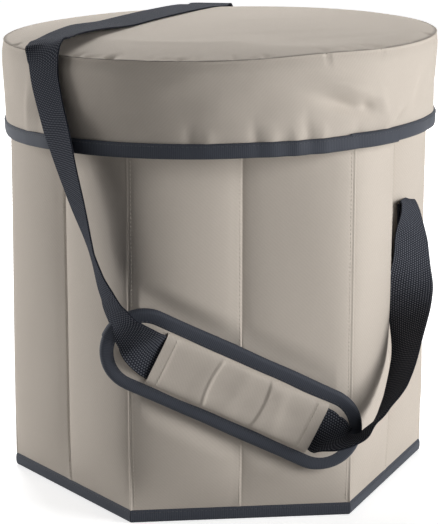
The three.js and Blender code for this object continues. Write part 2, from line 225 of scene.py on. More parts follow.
def sample(where: Grid, length: Grid, rows: Grid) -> Grid:
    """The rows of a line at distances along it, each between its two nearest."""
    return np.stack([np.interp(where, length, rows[:, k]) for k in range(3)], -1)


def grid_uv(rows: Grid, columns: Grid) -> Grid:
    """A UV grid from the length along the rows and the length round the columns."""
    u, v = np.meshgrid(rows, columns, indexing="ij")
    return np.stack([u, v], -1)


def add_object(name: str, data: bpy.types.ID) -> Piece:
    """Makes an object of a mesh, a lamp or a camera, and links it to the scene."""
    made = bpy.data.objects.new(name, data)
    bpy.context.scene.collection.objects.link(made)
    return made


def face_outwards(mesh: bpy.types.Mesh, merge: bool = False) -> None:
    """Turns a closed mesh's faces outwards.

    Args:
        mesh: the mesh.
        merge: joins its doubled points first.
    """
    shape = bmesh.new()
    shape.from_mesh(mesh)
    if merge:
        bmesh.ops.remove_doubles(shape, verts=shape.verts, dist=1e-7)
    bmesh.ops.recalc_face_normals(shape, faces=shape.faces)
    shape.to_mesh(mesh)
    shape.free()


@dataclass
class Skin:
    """A grid of points that becomes one closed mesh.

    Rows run along the piece and columns round its section. A grid that neither closes on itself along the
    rows nor merges its doubled points gets a flat cap at each end.
    """

    name: str
    points: Grid
    uv: Grid
    wrap_rows: bool = False
    merge: bool = False
    sharp: float = 60.0

    def build(self) -> Piece:
        """Makes the object: quads between neighbours, caps, a UV map in metres, faces outwards."""
        rows, columns, _ = self.points.shape
        spans = rows if self.wrap_rows else rows - 1
        i, j = np.meshgrid(np.arange(spans), np.arange(columns), indexing="ij")
        i2, j2 = (i + 1) % rows, (j + 1) % columns
        quads = np.stack([i * columns + j, i * columns + j2, i2 * columns + j2, i2 * columns + j], -1)
        quads = quads.reshape(-1, 4)
        corners = [(i, j), (i, j + 1), (i + 1, j + 1), (i + 1, j)]
        uv = np.stack([self.uv[a, b] for a, b in corners], -2).reshape(-1, 4, 2)
        vertices = self.points.reshape(-1, 3)
        way = 1 if self._volume(vertices, quads) >= 0 else -1
        faces = quads[:, ::way].tolist()
        uv = uv[:, ::way].reshape(-1, 2)
        if not self.wrap_rows and not self.merge:
            start = list(range(columns))
            end = [(rows - 1) * columns + k for k in start]
            faces += [start[::-way], end[::way]]
            uv = np.vstack([uv, self.uv[0, :columns][::-way], self.uv[rows - 1, :columns][::way]])
        mesh = bpy.data.meshes.new(self.name)
        mesh.from_pydata(vertices.tolist(), [], faces)
        mesh.uv_layers.new(name="cloth").data.foreach_set("uv", uv.astype(np.float32).ravel())
        mesh.shade_smooth()
        if self.merge:
            face_outwards(mesh, merge=True)
        mesh.set_sharp_from_angle(angle=math.radians(self.sharp))
        mesh.validate()
        return add_object(self.name, mesh)

    @staticmethod
    def _volume(vertices: Grid, quads: Grid) -> float:
        """Six times the signed volume that the quads hold, about the middle of the points."""
        centre = vertices.mean(0)
        a, b, c, d = (vertices[quads[:, k]] - centre for k in range(4))
        return float(np.einsum("ij,ij->", a, np.cross(b, c)) + np.einsum("ij,ij->", a, np.cross(c, d)))


def closed_disc(name: str, over: Grid, under: Grid, sharp: float = 60.0) -> Piece:
    """A closed round piece between two polar grids.

    Args:
        name: the piece's name.
        over: the upper grid, from its middle outwards.
        under: the lower grid, from its rim inwards.
        sharp: the angle in degrees over which an edge stays sharp.

    Returns:
        The piece's object.
    """
    points = np.concatenate([over, under])
    wrapped = np.concatenate([points, points[:, :1]], axis=1)
    return Skin(name, points, wrapped[..., :2], merge=True, sharp=sharp).build()


@dataclass(frozen=True)
class Thread:
    """Sewing thread: short rounded stitches along a seam.

    Attributes:
        length, pitch, radius: of one stitch.
        sides, rings: of a stitch's mesh.
        rise, dip: how high a stitch's middle rides, and how far its ends dip below that, in radii.
        taper, thinnest: the share of the length at which it would end in a point, and its least girth squared.
    """

    length: float = 2.4 * MM
    pitch: float = 3.4 * MM
    radius: float = 0.34 * MM
    sides: int = 6
    rings: int = 5
    rise: float = 0.55
    dip: float = 0.75
    taper: float = 0.96
    thinnest: float = 0.05

    def sew(self, name: str, path: Grid, lift: Grid) -> Piece:
        """Lays stitches along a line of points, each a small spindle half sunk into the cloth.

        Args:
            name: the piece's name.
            path: points along the seam.
            lift: a vector out of the cloth, or one for each point.

        Returns:
            One object that holds all the stitches.
        """
        length = arc_length(path)
        count = max(1, int(length[-1] / self.pitch))
        middles = (np.arange(count) + 0.5) * length[-1] / count
        up = unit(sample(middles, length, np.broadcast_to(lift, path.shape)))
        share = np.linspace(-1, 1, self.rings)
        steps = [np.clip(middles + s * self.length / 2, 0, length[-1]) for s in share]
        centre = np.stack([sample(step, length, path) for step in steps], 1)
        side = unit(np.cross(up, unit(centre[:, -1] - centre[:, 0])))
        rise = (self.rise - self.dip * share ** 2) * self.radius
        centre = centre + rise[None, :, None] * up[:, None, :]
        turn = FULL_TURN * np.arange(self.sides) / self.sides
        girth = self.radius * np.sqrt(np.maximum(1 - (share * self.taper) ** 2, self.thinnest))
        ring = (np.cos(turn)[:, None] * side[:, None, None, :] + np.sin(turn)[:, None] * up[:, None, None, :])
        points = centre[:, :, None, :] + girth[:, None, None] * ring
        mesh = bpy.data.meshes.new(name)
        mesh.from_pydata(points.reshape(-1, 3).tolist(), [], self._faces(count))
        face_outwards(mesh)
        mesh.shade_smooth()
        return add_object(name, mesh)

    def _faces(self, count: int) -> list[list[int]]:
        """The faces of so many stitches: for all the quads between their rings, then two caps for each."""
        i, j = np.meshgrid(np.arange(self.rings - 1), np.arange(self.sides), indexing="ij")
        j2 = (j + 1) % self.sides
        quads = np.stack([i * self.sides + j2, (i + 1) * self.sides + j2,
                          (i + 1) * self.sides + j, i * self.sides + j], -1).reshape(-1, 4)
        block = self.rings * self.sides
        starts = np.arange(count) * block
        faces = (quads[None] + starts[:, None, None]).reshape(-1, 4).tolist()
        ring = list(range(self.sides))
        for start in starts.tolist():
            faces.append([start + k for k in ring[::-1]])
            faces.append([start + block - self.sides + k for k in ring])
        return faces


class Tree:
    """A thin hand on a node tree: makes nodes, sets their inputs and links sockets."""

    def __init__(self, tree: bpy.types.NodeTree) -> None:
        """Keeps the tree."""
        self.tree = tree

    def node(self, kind: str, **settings) -> bpy.types.Node:
        """Adds a node.

        Args:
            kind: its type's name.
            settings: its properties and their values.

        Returns:
            The node.
        """
        made = self.tree.nodes.new(kind)
        for key, value in settings.items():
            setattr(made, key, value)
        return made

    def feed(self, socket: Socket, value: Socket | float) -> None:
        """Links a socket to another one, or sets its value.

        Args:
            socket: the input.
            value: the output that feeds it, or a number.
        """
        if isinstance(value, Socket):
            self.tree.links.new(value, socket)
        else:
            socket.default_value = value

    def math(self, operation: str, *values: Socket | float, clamp: bool = False) -> Socket:
        """One Math node.

        Args:
            operation: what it works out.
            values: its inputs, each a socket or a number.
            clamp: keeps the result between 0 and 1.

        Returns:
            The result.
        """
        made = self.node("ShaderNodeMath", operation=operation, use_clamp=clamp)
        for socket, value in zip(made.inputs, values):
            self.feed(socket, value)
        return made.outputs[0]

    def humps(self, value: Socket, speed: float = HALF_TURN) -> Socket:
        """The absolute sine of a value times a speed: at pi, one hump for each whole number."""
        return self.math("ABSOLUTE", self.math("SINE", self.math("MULTIPLY", value, speed)))

    def mix(self, share: Socket, dark: tuple, light: tuple) -> Socket:
        """A colour between two.

        Args:
            share: how much of the light one there is.
            dark, light: the two colours.

        Returns:
            The colour.
        """
        made = self.node("ShaderNodeMix", data_type="RGBA")
        self.feed(made.inputs[0], share)
        made.inputs[6].default_value, made.inputs[7].default_value = (*dark, 1.0), (*light, 1.0)
        return made.outputs[2]

    def cells(self, vector: Socket, width: Socket, height: Socket) -> tuple[Socket, Socket]:
        """Places counted in cells.

        Args:
            vector: the place.
            width, height: the size of a cell.

        Returns:
            The first and the second part of the place, each divided by its size.
        """
        made = self.node("ShaderNodeSeparateXYZ")
        self.feed(made.inputs[0], vector)
        return self.math("DIVIDE", made.outputs[0], width), self.math("DIVIDE", made.outputs[1], height)

    def place(self) -> Socket:
        """The object's own coordinates."""
        return self.node("ShaderNodeTexCoord").outputs["Object"]

    def mottle(self, patches: float) -> bpy.types.Node:
        """The mottle group, over the object's own coordinates.

        Args:
            patches: how many there are to the metre.

        Returns:
            The group's node.
        """
        made = self.node("ShaderNodeGroup", node_tree=bpy.data.node_groups["cloth mottle"])
        self.feed(made.inputs["Place"], self.place())
        made.inputs["Patches"].default_value = patches
        return made

    def bump(self, shader: bpy.types.Node, height: Socket, strength: float, depth: float) -> None:
        """Drives a shader's normal by a height.

        Args:
            shader: the Principled node.
            height: the height, about 0 to 1.
            strength: how strongly it shows.
            depth: its depth in metres.
        """
        made = self.node("ShaderNodeBump")
        made.inputs["Strength"].default_value = strength
        made.inputs["Distance"].default_value = depth
        self.feed(made.inputs["Height"], height)
        self.feed(shader.inputs["Normal"], made.outputs[0])

    def seen_directly(self) -> Socket:
        """1 for what the camera sees, straight or by a mirror or through a glass, and 0 for other light."""
        path = self.node("ShaderNodeLightPath").outputs
        seen = self.math("ADD", path["Is Camera Ray"], path["Is Glossy Ray"])
        return self.math("ADD", seen, path["Is Transmission Ray"], clamp=True)


def new_material(name: str) -> tuple[bpy.types.Material, Tree, bpy.types.Node]:
    """Starts a material.

    Args:
        name: its name.

    Returns:
        The material, the hand on its tree and its Principled node.
    """
    made = bpy.data.materials.new(name)
    made.use_nodes = True
    return made, Tree(made.node_tree), made.node_tree.nodes["Principled BSDF"]


def new_group(name: str, inputs: dict[str, float | None], outputs: tuple[str, ...]) -> tuple:
    """Starts a shader node group.

    Args:
        name: the group's name.
        inputs: for each input the default of a number, or None for a vector.
        outputs: the names of its number outputs.

    Returns:
        The hand on its tree, and the sockets of its input node and of its output node.
    """
    group = bpy.data.node_groups.new(name, "ShaderNodeTree")
    for key, default in inputs.items():
        kind = "NodeSocketVector" if default is None else "NodeSocketFloat"
        socket = group.interface.new_socket(key, in_out="INPUT", socket_type=kind)
        if default is not None:
            socket.default_value = default
    for key in outputs:
        group.interface.new_socket(key, in_out="OUTPUT", socket_type="NodeSocketFloat")
    tree = Tree(group)
    return tree, tree.node("NodeGroupInput").outputs, tree.node("NodeGroupOutput").inputs


def weave_group() -> None:
    """Plain weave: a checker of threads, warp over weft and weft over warp, with a faint twill line across it."""
    tree, given, made = new_group("plain weave", {"UV": None, "Thread": 0.8 * MM}, ("Height", "Twill"))
    a, b = tree.cells(given["UV"], given["Thread"], given["Thread"])
    cell = tree.math("ADD", tree.math("FLOOR", a), tree.math("FLOOR", b))
    over = tree.math("PINGPONG", cell, 1.0)
    rest = tree.math("MULTIPLY", tree.humps(a), tree.math("SUBTRACT", 1.0, over))
    tree.feed(made["Height"], tree.math("MULTIPLY_ADD", tree.humps(b), over, rest))
    diagonal = tree.math("MULTIPLY", tree.math("ADD", a, b), math.pi / 2)
    tree.feed(made["Twill"], tree.math("MULTIPLY_ADD", tree.math("SINE", diagonal), 0.5, 0.5))


def rib_group() -> None:
    """Ribbed tape: rounded ribs across the tape, with a finer thread over each."""
    tree, given, made = new_group("tape ribs", {"UV": None, "Pitch": 1.6 * MM}, ("Height",))
    a, b = tree.cells(given["UV"], given["Pitch"], given["Pitch"])
    fine = tree.math("MULTIPLY_ADD", tree.humps(b, FULL_TURN), 0.3, 0.7)
    tree.feed(made["Height"], tree.math("MULTIPLY", tree.humps(a), fine))


def webbing_group() -> None:
    """Webbing weave: columns of short raised floats, each column half a float on from the last, like bricks."""
    tree, given, made = new_group("webbing weave", {"UV": None, "Float": 2.2 * MM, "Column": 2.1 * MM},
                                  ("Height",))
    along, across = tree.cells(given["UV"], given["Float"], given["Column"])
    shift = tree.math("PINGPONG", tree.math("FLOOR", across), 1.0)
    phase = tree.math("MULTIPLY_ADD", shift, 0.5, along)
    column = tree.math("SINE", tree.math("MULTIPLY", tree.math("FRACT", across), math.pi))
    dot = tree.math("MULTIPLY", tree.humps(phase), column)
    tree.feed(made["Height"], tree.math("POWER", dot, 1.8))


def mottle_group() -> None:
    """Uneven dye and dust: broad patches and a fine speckle, both about 0.5 on average."""
    tree, given, made = new_group("cloth mottle", {"Place": None, "Patches": 9.0}, ("Broad", "Fine"))
    for key, factor, detail in (("Broad", 1.0, 3.0), ("Fine", 40.0, 2.0)):
        noise = tree.node("ShaderNodeTexNoise", noise_dimensions="3D")
        tree.feed(noise.inputs["Vector"], given["Place"])
        tree.feed(noise.inputs["Scale"], tree.math("MULTIPLY", given["Patches"], factor))
        noise.inputs["Detail"].default_value = detail
        tree.feed(made[key], noise.outputs[0])


class Pattern(Enum):
    """The shared weaves, by the names of their node groups."""

    WEAVE = "plain weave"
    RIBS = "tape ribs"
    WEBBING = "webbing weave"


@dataclass(frozen=True)
class Cloth:
    """A woven finish.

    Attributes:
        light, dark: the colours of the raised and of the sunken threads; the sunken threads' darker colour is
            partly painted shade in the weave's hollows and the raised threads' lighter one partly a painted
            highlight.
        pitch, depth: the weave's size and its depth, in metres.
        contrast, twill: how far the weave and its diagonal line darken the colour.
        mottle, patches: how uneven the dye is, and how many patches there are to the metre.
        roughness, specular: how it takes light.
        seam_shade: how much darker it is where the seam attribute is 1, painted shade beside the walls' crease and
            painted shadow at the lid's seam.
        smoother, dust: how much less rough a raised thread is, and the share of the fine speckle in the relief.
        strength: of the bump.
    """

    name: str
    light: tuple[float, float, float]
    dark: tuple[float, float, float]
    pattern: Pattern
    pitch: float
    depth: float
    contrast: float
    mottle: float
    roughness: float
    specular: float
    twill: float = 0.0
    patches: float = 9.0
    seam_shade: float = 0.35
    smoother: float = 0.12
    dust: float = 0.25
    strength: float = 0.6

    def material(self) -> None:
        """Builds the material: the weave's height mixes the colours and drives the bump, mottle darkens patches,
        and the seam attribute darkens the cloth with painted shade.
        """
        _, tree, shader = new_material(self.name)
        weave = tree.node("ShaderNodeGroup", node_tree=bpy.data.node_groups[self.pattern.value])
        tree.feed(weave.inputs["UV"], tree.node("ShaderNodeUVMap", uv_map="cloth").outputs[0])
        weave.inputs[1].default_value = self.pitch
        height = weave.outputs["Height"]
        # The weave's height mixes the two colours: partly the threads' pattern, partly painted shade in the hollows
        # and a painted highlight on the raised threads.
        share = tree.math("MULTIPLY_ADD", height, self.contrast, 1.0 - self.contrast)
        if self.twill:
            line = tree.math("MULTIPLY", weave.outputs["Twill"], self.twill)
            share = tree.math("SUBTRACT", share, line, clamp=True)
        spots = tree.mottle(self.patches).outputs
        patches = tree.math("MULTIPLY_ADD", spots["Broad"], 2 * self.mottle, 1.0 - self.mottle)
        specks = tree.math("MULTIPLY_ADD", spots["Fine"], self.mottle, 1.0 - self.mottle / 2)
        # Painted shade: the seam attribute darkens the cloth beside the walls' crease, and painted shadow darkens
        # it along the lid's seam.
        seam = tree.node("ShaderNodeAttribute", attribute_name="seam").outputs["Fac"]
        painted_shade = tree.math("MULTIPLY_ADD", seam, -self.seam_shade, 1.0)
        scaled = tree.node("ShaderNodeVectorMath", operation="SCALE")
        tree.feed(scaled.inputs[0], tree.mix(share, self.dark, self.light))
        tree.feed(scaled.inputs["Scale"], tree.math("MULTIPLY", tree.math("MULTIPLY", patches, specks), painted_shade))
        tree.feed(shader.inputs["Base Color"], scaled.outputs[0])
        tree.feed(shader.inputs["Roughness"],
                  tree.math("MULTIPLY_ADD", height, -self.smoother, self.roughness))
        shader.inputs["Specular IOR Level"].default_value = self.specular
        relief = tree.math("MULTIPLY_ADD", spots["Fine"], self.dust, height)
        tree.bump(shader, relief, self.strength, self.depth)


@dataclass(frozen=True)
class Plain:
    """A finish with no weave: film, board, foam or thread, with its own grain size and unevenness."""

    name: str
    light: tuple[float, float, float]
    dark: tuple[float, float, float]
    grain: float
    roughness: float
    metallic: float = 0.0
    depth: float = 0.2 * MM
    strength: float = 0.4
    uneven: float = 0.2

    def material(self) -> None:
        """Builds the material: noise mixes the two colours and drives the roughness and the bump."""
        _, tree, shader = new_material(self.name)
        spots = tree.mottle(self.grain).outputs
        tree.feed(shader.inputs["Base Color"], tree.mix(spots["Broad"], self.dark, self.light))
        tree.feed(shader.inputs["Roughness"],
                  tree.math("MULTIPLY_ADD", spots["Fine"], self.uneven, self.roughness - self.uneven / 2))
        shader.inputs["Metallic"].default_value = self.metallic
        tree.bump(shader, spots["Fine"], self.strength, self.depth)


BEIGE = Cloth("beige cloth", (0.61, 0.55, 0.485), (0.40, 0.35, 0.30), Pattern.WEAVE, 0.8 * MM, 0.10 * MM,
              contrast=0.45, mottle=0.04, twill=0.10, roughness=0.95, specular=0.03)
TAPE = Cloth("charcoal tape", (0.052, 0.058, 0.074), (0.018, 0.021, 0.029), Pattern.RIBS, 1.5 * MM, 0.14 * MM,
             contrast=0.7, mottle=0.12, roughness=0.74, specular=0.25)
WEBBING = Cloth("charcoal webbing", (0.145, 0.152, 0.175), (0.018, 0.020, 0.027), Pattern.WEBBING, 2.0 * MM,
                0.3 * MM, contrast=1.0, mottle=0.10, roughness=0.95, specular=0.02)
PALE_THREAD = Plain("beige thread", (0.62, 0.57, 0.50), (0.50, 0.45, 0.39), 900.0, 0.6)
DARK_THREAD = Plain("dark thread", (0.045, 0.048, 0.06), (0.03, 0.032, 0.04), 900.0, 0.55)
FILM = Plain("silver lining", (0.62, 0.64, 0.66), (0.52, 0.54, 0.57), 60.0, 0.35, 0.25)
BOARD = Plain("fibreboard", (0.42, 0.29, 0.17), (0.33, 0.22, 0.12), 120.0, 0.8)
FOAM = Plain("seat foam", (0.86, 0.83, 0.74), (0.75, 0.72, 0.62), 300.0, 0.95)
FINISHES = (BEIGE, TAPE, WEBBING, PALE_THREAD, DARK_THREAD, FILM, BOARD, FOAM)


def dress(piece: Piece, finish: Cloth | Plain, slot: str, body: str = "", *nodes: str) -> Piece:
    """Gives a piece its finish, and hands it back.

    Args:
        piece: the piece.
        finish: its finish, whose material is already built.
        slot: the record's slot for it; not used.
        body: the body that it rides on, or nothing where the caller rides or bakes it.
        nodes: the CAD nodes that it stands for.

    Returns:
        The piece.
    """
    log.info("%s: %s", piece.name, finish.name)
    piece.data.materials.append(bpy.data.materials[finish.name])
    if nodes:
        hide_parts(*nodes)
    if body:
        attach(piece, body)
    return piece


def place_on(face: Face, along: Grid, out: Grid, height: Grid) -> Grid:
    """Points on a face: along it from its middle, out from the axis, and up."""
    return (np.asarray(along)[..., None] * face.along + np.asarray(out)[..., None] * face.out
            + np.asarray(height)[..., None] * np.array([0.0, 0.0, 1.0]))


def crease_blend(piece: Piece, wall: WallBodies) -> None:
    """Rides a piece of a face with one body on that body; a piece of a face with two bodies only has its transform
    baked.

    Args:
        piece: the piece.
        wall: the face.
    """
    if len(wall.bodies) == 1:
        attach(piece, wall.bodies[0])
        return
    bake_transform(piece)


def mark_seam_shade(piece: Piece, strength: Callable[[Grid], Grid]) -> None:
    """Writes the seam attribute of a piece: how much painted shade darkens its cloth.

    Args:
        piece: the piece.
        strength: gives the attribute for an array of points.
    """
    co = np.empty(len(piece.data.vertices) * 3, np.float32)
    piece.data.vertices.foreach_get("co", co)
    layer = piece.data.attributes.new("seam", "FLOAT", "POINT")
    layer.data.foreach_set("value", strength(co.reshape(-1, 3)).astype(np.float32))


# The faces with a row of stitches beside their left edge, right edge or crease; each corner has one row
STITCHED_FACES = {"left": (Face.FRONT, Face.BACK),
                  "right": (Face.FRONT, Face.BACK, Face.RIGHT_FRONT, Face.LEFT_BACK),
                  "crease": tuple(Face)}


@dataclass
class WallCovers:
    """The quilted outer covers of the six faces, each two upright pillows between stitched lines.

    Attributes:
        crown, edge_crown: height of a pillow's parabola, and of the sixth power that steepens its edges.
        bow, settle: how far any face stands out at its crease, and how much further the front does.
        front_round, front_fall: of the front's left and right pillow, the share of the crown, and the power by
            which it falls off towards the corner.
        foot_fade, head_fade: the heights over which the padding fades at the foot and at the top.
        press, press_near, press_far: how thick the padding is under the shoulder pad, and how far from the
            pad's middle line that begins and stops to fade.
        gap: the clearance at the corners and the foot; top_drop: that below the hem.
        ridge, ridge_width: the pinched ridge at each corner.
        lip, lip_width: the narrow step beside the crease.
        unevenness: the height of the soft waves.
        right_pull, left_pull, pull_low, pull_high: how far the side corners are drawn in, between two heights.
        columns, rows, fine, corner_fine: the mesh's steps, with the finer ones within fine of the crease and
            within corner_fine of the corners.
        stitch_inset, crease_stitch: how far the stitches are from the corner and from the crease.
        blend_reach: how far to each side of a crease the cloth would bend; not used.
    """

    crown: float = 6.0 * MM
    edge_crown: float = 2.0 * MM
    bow: float = 0.8 * MM
    settle: float = 3.8 * MM
    front_round: tuple[float, float] = (1.15, 0.45)
    front_fall: tuple[float, float] = (1.0, 2.4)
    foot_fade: float = 55 * MM
    head_fade: float = 30 * MM
    press: float = 5.0 * MM
    press_near: float = 36 * MM
    press_far: float = 56 * MM
    gap: float = 0.07 * MM
    top_drop: float = 0.8 * MM
    ridge: float = 0.7 * MM
    ridge_width: float = 1.0 * MM
    lip: float = 0.35 * MM
    lip_width: float = 4.5 * MM
    unevenness: float = 0.9 * MM
    right_pull: float = 2.3 * MM
    left_pull: float = 1.6 * MM
    pull_low: float = 40 * MM
    pull_high: float = 300 * MM
    columns: int = 161
    rows: int = 120
    fine: float = 0.045
    corner_fine: float = 0.94
    stitch_inset: float = 3.2 * MM
    crease_stitch: float = 1.6 * MM
    blend_reach: float = 7 * MM

    def surface(self, wall: WallBodies, u: Grid, z: Grid) -> Grid:
        """Distance of the cloth from the axis.

        Two pillows across the face, each a parabola plus a sixth power, and the bow at the crease, faded at the
        foot and the top by a quarter sine. To these come soft unevenness that dies at the seams, the ridge at
        each corner and the lip beside the crease. The shoulder pad presses the front flat under it.

        Args:
            wall: the face.
            u: the share of the way from the crease to the right corner, -1 to 1.
            z: the height.

        Returns:
            The distance of each place.
        """
        t = np.abs(u)
        foot = np.clip((z - BINDING_TOP) / self.foot_fade, 0, 1)
        head = np.clip((WALL_TOP - z) / self.head_fade, 0, 1)
        fade = np.sin(np.pi / 2 * np.minimum(foot, head))
        is_front = wall.face is Face.FRONT
        share = np.where(u > 0, self.front_round[1], self.front_round[0]) if is_front else 1.0
        pillow = (self.crown * share * 4 * t * (1 - t) + self.edge_crown * (1 - (2 * t - 1) ** 6)) * fade
        pillow = pillow + self.bow * (1 - t ** 2) * fade
        if is_front:
            fall = np.where(u > 0, self.front_fall[1], self.front_fall[0])
            pillow = pillow + self.settle * (1 - t ** fall) * fade
        seed = 11 + list(Face).index(wall.face)
        other_pillow = np.where(u < 0, 0.0, 3.7)
        wavy = self.unevenness * ripple(u * 0.5 + other_pillow, (z - BINDING_TOP) * 3, seed, 9, 4.0)
        soft = pillow + wavy * 4 * t * (1 - t) * fade
        if is_front:
            over = np.maximum(soft - self.press, 0)
            near = PadPlane().reach(u * HALF_FACE, z)
            soft = soft - over * (1 - smoothstep(near, self.press_near, self.press_far))
        ridge = self.ridge * bump((1 - t) * HALF_FACE, 0.0, self.ridge_width)
        from_crease = -u * HALF_FACE
        lip = self.lip * smoothstep(from_crease, -0.25 * MM, 0.35 * MM)
        lip = lip * (1 - smoothstep(from_crease, self.lip_width * 0.4, self.lip_width * 1.6))
        return RIDGE_APOTHEM + soft + ridge + lip - self.pull(wall.face, u, z)

    def pull(self, face: Face, u: Grid, z: Grid) -> Grid:
        """How far the cloth is drawn in towards the stool's right and left corner.

        The cube of the share of the way there, times a smooth rise with the height.

        Args:
            face: the face.
            u, z: the place, as in surface.

        Returns:
            The depth of each place.
        """
        pull = np.zeros(np.broadcast(u, z).shape)
        for side in (1, -1):
            azimuth = round(face.value + 30 * side) % 360
            depth = {0: self.right_pull, 180: self.left_pull}.get(azimuth, 0.0)
            pull = pull + depth * np.clip(side * u, 0, 1) ** 3 * smoothstep(z, self.pull_low, self.pull_high)
        return pull

    def points(self, wall: WallBodies, u: Grid, out: Grid, z: Grid) -> Grid:
        """Points at shares of the way to the corners, at a distance from the axis."""
        return place_on(wall.face, u * (out * CORNER_SLOPE - self.gap), out, z)

    def build(self, wall: WallBodies) -> None:
        """Makes one face's cover and its stitches, and rides them.

        Args:
            wall: the face.
        """
        near, edge = self.fine, self.corner_fine
        steps = np.unique(np.concatenate([
            np.linspace(-1, 1, self.columns), np.linspace(-near, near, 25)[1:-1],
            np.linspace(-1, -edge, 12)[1:-1], np.linspace(edge, 1, 12)[1:-1]]))
        heights = np.linspace(BINDING_TOP + self.gap, WALL_TOP - self.top_drop, self.rows)
        u, z = np.meshgrid(steps, heights, indexing="ij")
        front = self.points(wall, u, self.surface(wall, u, z), z)
        back = self.points(wall, u, np.full(u.shape, COVER_BACK), z)[:, [-1, 0]]
        section = np.concatenate([front, back], axis=1)
        v = np.concatenate([heights, [WALL_TOP + 3 * MM, WALL_TOP * 2, WALL_TOP * 2 + 3 * MM]])
        uv = grid_uv(steps * RIDGE_RADIUS / 2, v)
        cover = Skin(f"{wall.name}_padded_cover", section, uv, sharp=70).build()
        # Painted shade: a narrow band just right of the crease is darkened.
        mark_seam_shade(cover, lambda points: 0.15 * bump(points @ wall.face.along, 1.0 * MM, 1.2 * MM))
        dress(cover, BEIGE, "cover_fabric")
        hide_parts(*(f"{node}_cover" for node in wall.nodes))
        crease_blend(cover, wall)
        at = np.linspace(BINDING_TOP + 2 * MM, WALL_TOP - 4 * MM, 300)
        corner = 1 - self.stitch_inset / HALF_FACE
        for label, place in (("left", -corner), ("right", corner), ("crease", -self.crease_stitch / HALF_FACE)):
            if wall.face not in STITCHED_FACES[label]:
                continue
            share = np.full(at.shape, place)
            line = self.points(wall, share, self.surface(wall, share, at), at)
            stitches = Thread().sew(f"{wall.name}_{label}_stitches", line, wall.face.out)
            dress(stitches, PALE_THREAD, "cover_fabric")
            if label == "crease":
                crease_blend(stitches, wall)
            else:
                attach(stitches, wall.bodies[0 if label == "left" else -1])


@dataclass
class WallTapes:
    """The charcoal tape folded round the foot of the walls, and the cloth hem over their top."""

    proud: float = 1.3 * MM
    roundness: float = 1.2 * MM
    steps: int = 60
    gap: float = 0.2 * MM
    hem_height: float = 14 * MM
    hem_cloth: float = 0.9 * MM
    hem_proud: float = 1.4 * MM
    blend_reach: float = 6 * MM

    def foot_section(self) -> Grid:
        """The tape's section as [out, height]: flat below, rounded over the outside, closed behind the cover."""
        top = BINDING_TOP
        turn = np.linspace(-np.pi / 2, np.pi / 2, 15)
        outside = np.stack([RIDGE_APOTHEM - self.roundness + (self.proud + self.roundness) * np.cos(turn) ** 0.5,
                            top / 2 + (top / 2 + 0.2 * MM) * np.sin(turn)], -1)
        outside[:, 1] = np.maximum(outside[:, 1], 0.0)
        inside = COVER_BACK + 0.2 * MM
        return np.vstack([outside, [[inside, top], [inside, 0.0]]])

    def hem_section(self) -> Grid:
        """The hem's section: up the outside, over the top of cover, board and lining, and down the inside."""
        outer, inner = RIDGE_APOTHEM + self.hem_proud, LINING_BACK - 0.22 * MM
        low, top = WALL_TOP - self.hem_height, WALL_TOP + 0.15 * MM
        radius, lap, skin = self.roundness, 0.15 * MM, 0.7 * MM
        over = [[outer - radius + radius * math.cos(t), top - radius + radius * math.sin(t)]
                for t in np.linspace(0, np.pi / 2, 6)]
        back = [[inner + 0.2 * MM, top], [inner, top - 0.3 * MM]]
        under = [[inner, low], [inner + lap, low], [inner + lap, top - skin],
                 [outer - self.hem_cloth, top - skin], [outer - self.hem_cloth, low]]
        return np.array([[outer, low]] + over + back + under)

    def run(self, name: str, wall: WallBodies, section: Grid) -> Piece:
        """Carries a section along one face, mitred at both corners.

        Args:
            name: the piece's name.
            wall: the face.
            section: rows of out and height.

        Returns:
            The piece's object.
        """
        share = np.linspace(-1, 1, self.steps + 1)
        out = np.broadcast_to(section[:, 0], (len(share), len(section)))
        height = np.broadcast_to(section[:, 1], out.shape)
        points = place_on(wall.face, share[:, None] * (out * CORNER_SLOPE - self.gap), out, height)
        around = arc_length(np.vstack([section, section[:1]]))
        return Skin(name, points, grid_uv(share * RIDGE_RADIUS / 2, around)).build()

    def build(self, wall: WallBodies) -> None:
        """Makes one face's foot tape, top hem and the tape's stitches, and rides them.

        Args:
            wall: the face.
        """
        foot = dress(self.run(f"{wall.name}_foot_tape", wall, self.foot_section()), TAPE, "binding_tape")
        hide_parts(*(f"{node}_bottom_binding" for node in wall.nodes))
        hem = dress(self.run(f"{wall.name}_top_hem", wall, self.hem_section()), BEIGE, "cover_fabric")
        share = np.linspace(-1, 1, 200)
        out = np.full(share.shape, RIDGE_APOTHEM + self.proud - 0.1 * MM)
        line = place_on(wall.face, share * (out * CORNER_SLOPE - 2 * MM), out,
                        np.full(share.shape, BINDING_TOP - 2 * MM))
        stitches = Thread(radius=0.28 * MM).sew(f"{wall.name}_foot_stitches", line, wall.face.out)
        dress(stitches, DARK_THREAD, "binding_tape")
        for piece in (foot, hem, stitches):
            crease_blend(piece, wall)


# Where the top's cloth is drawn in at the seam, in radians round the axis
PUCKERS = np.radians([-146.0, -131.0, -125.0, -106.0, -88.0, -69.0, -52.0, -38.0])
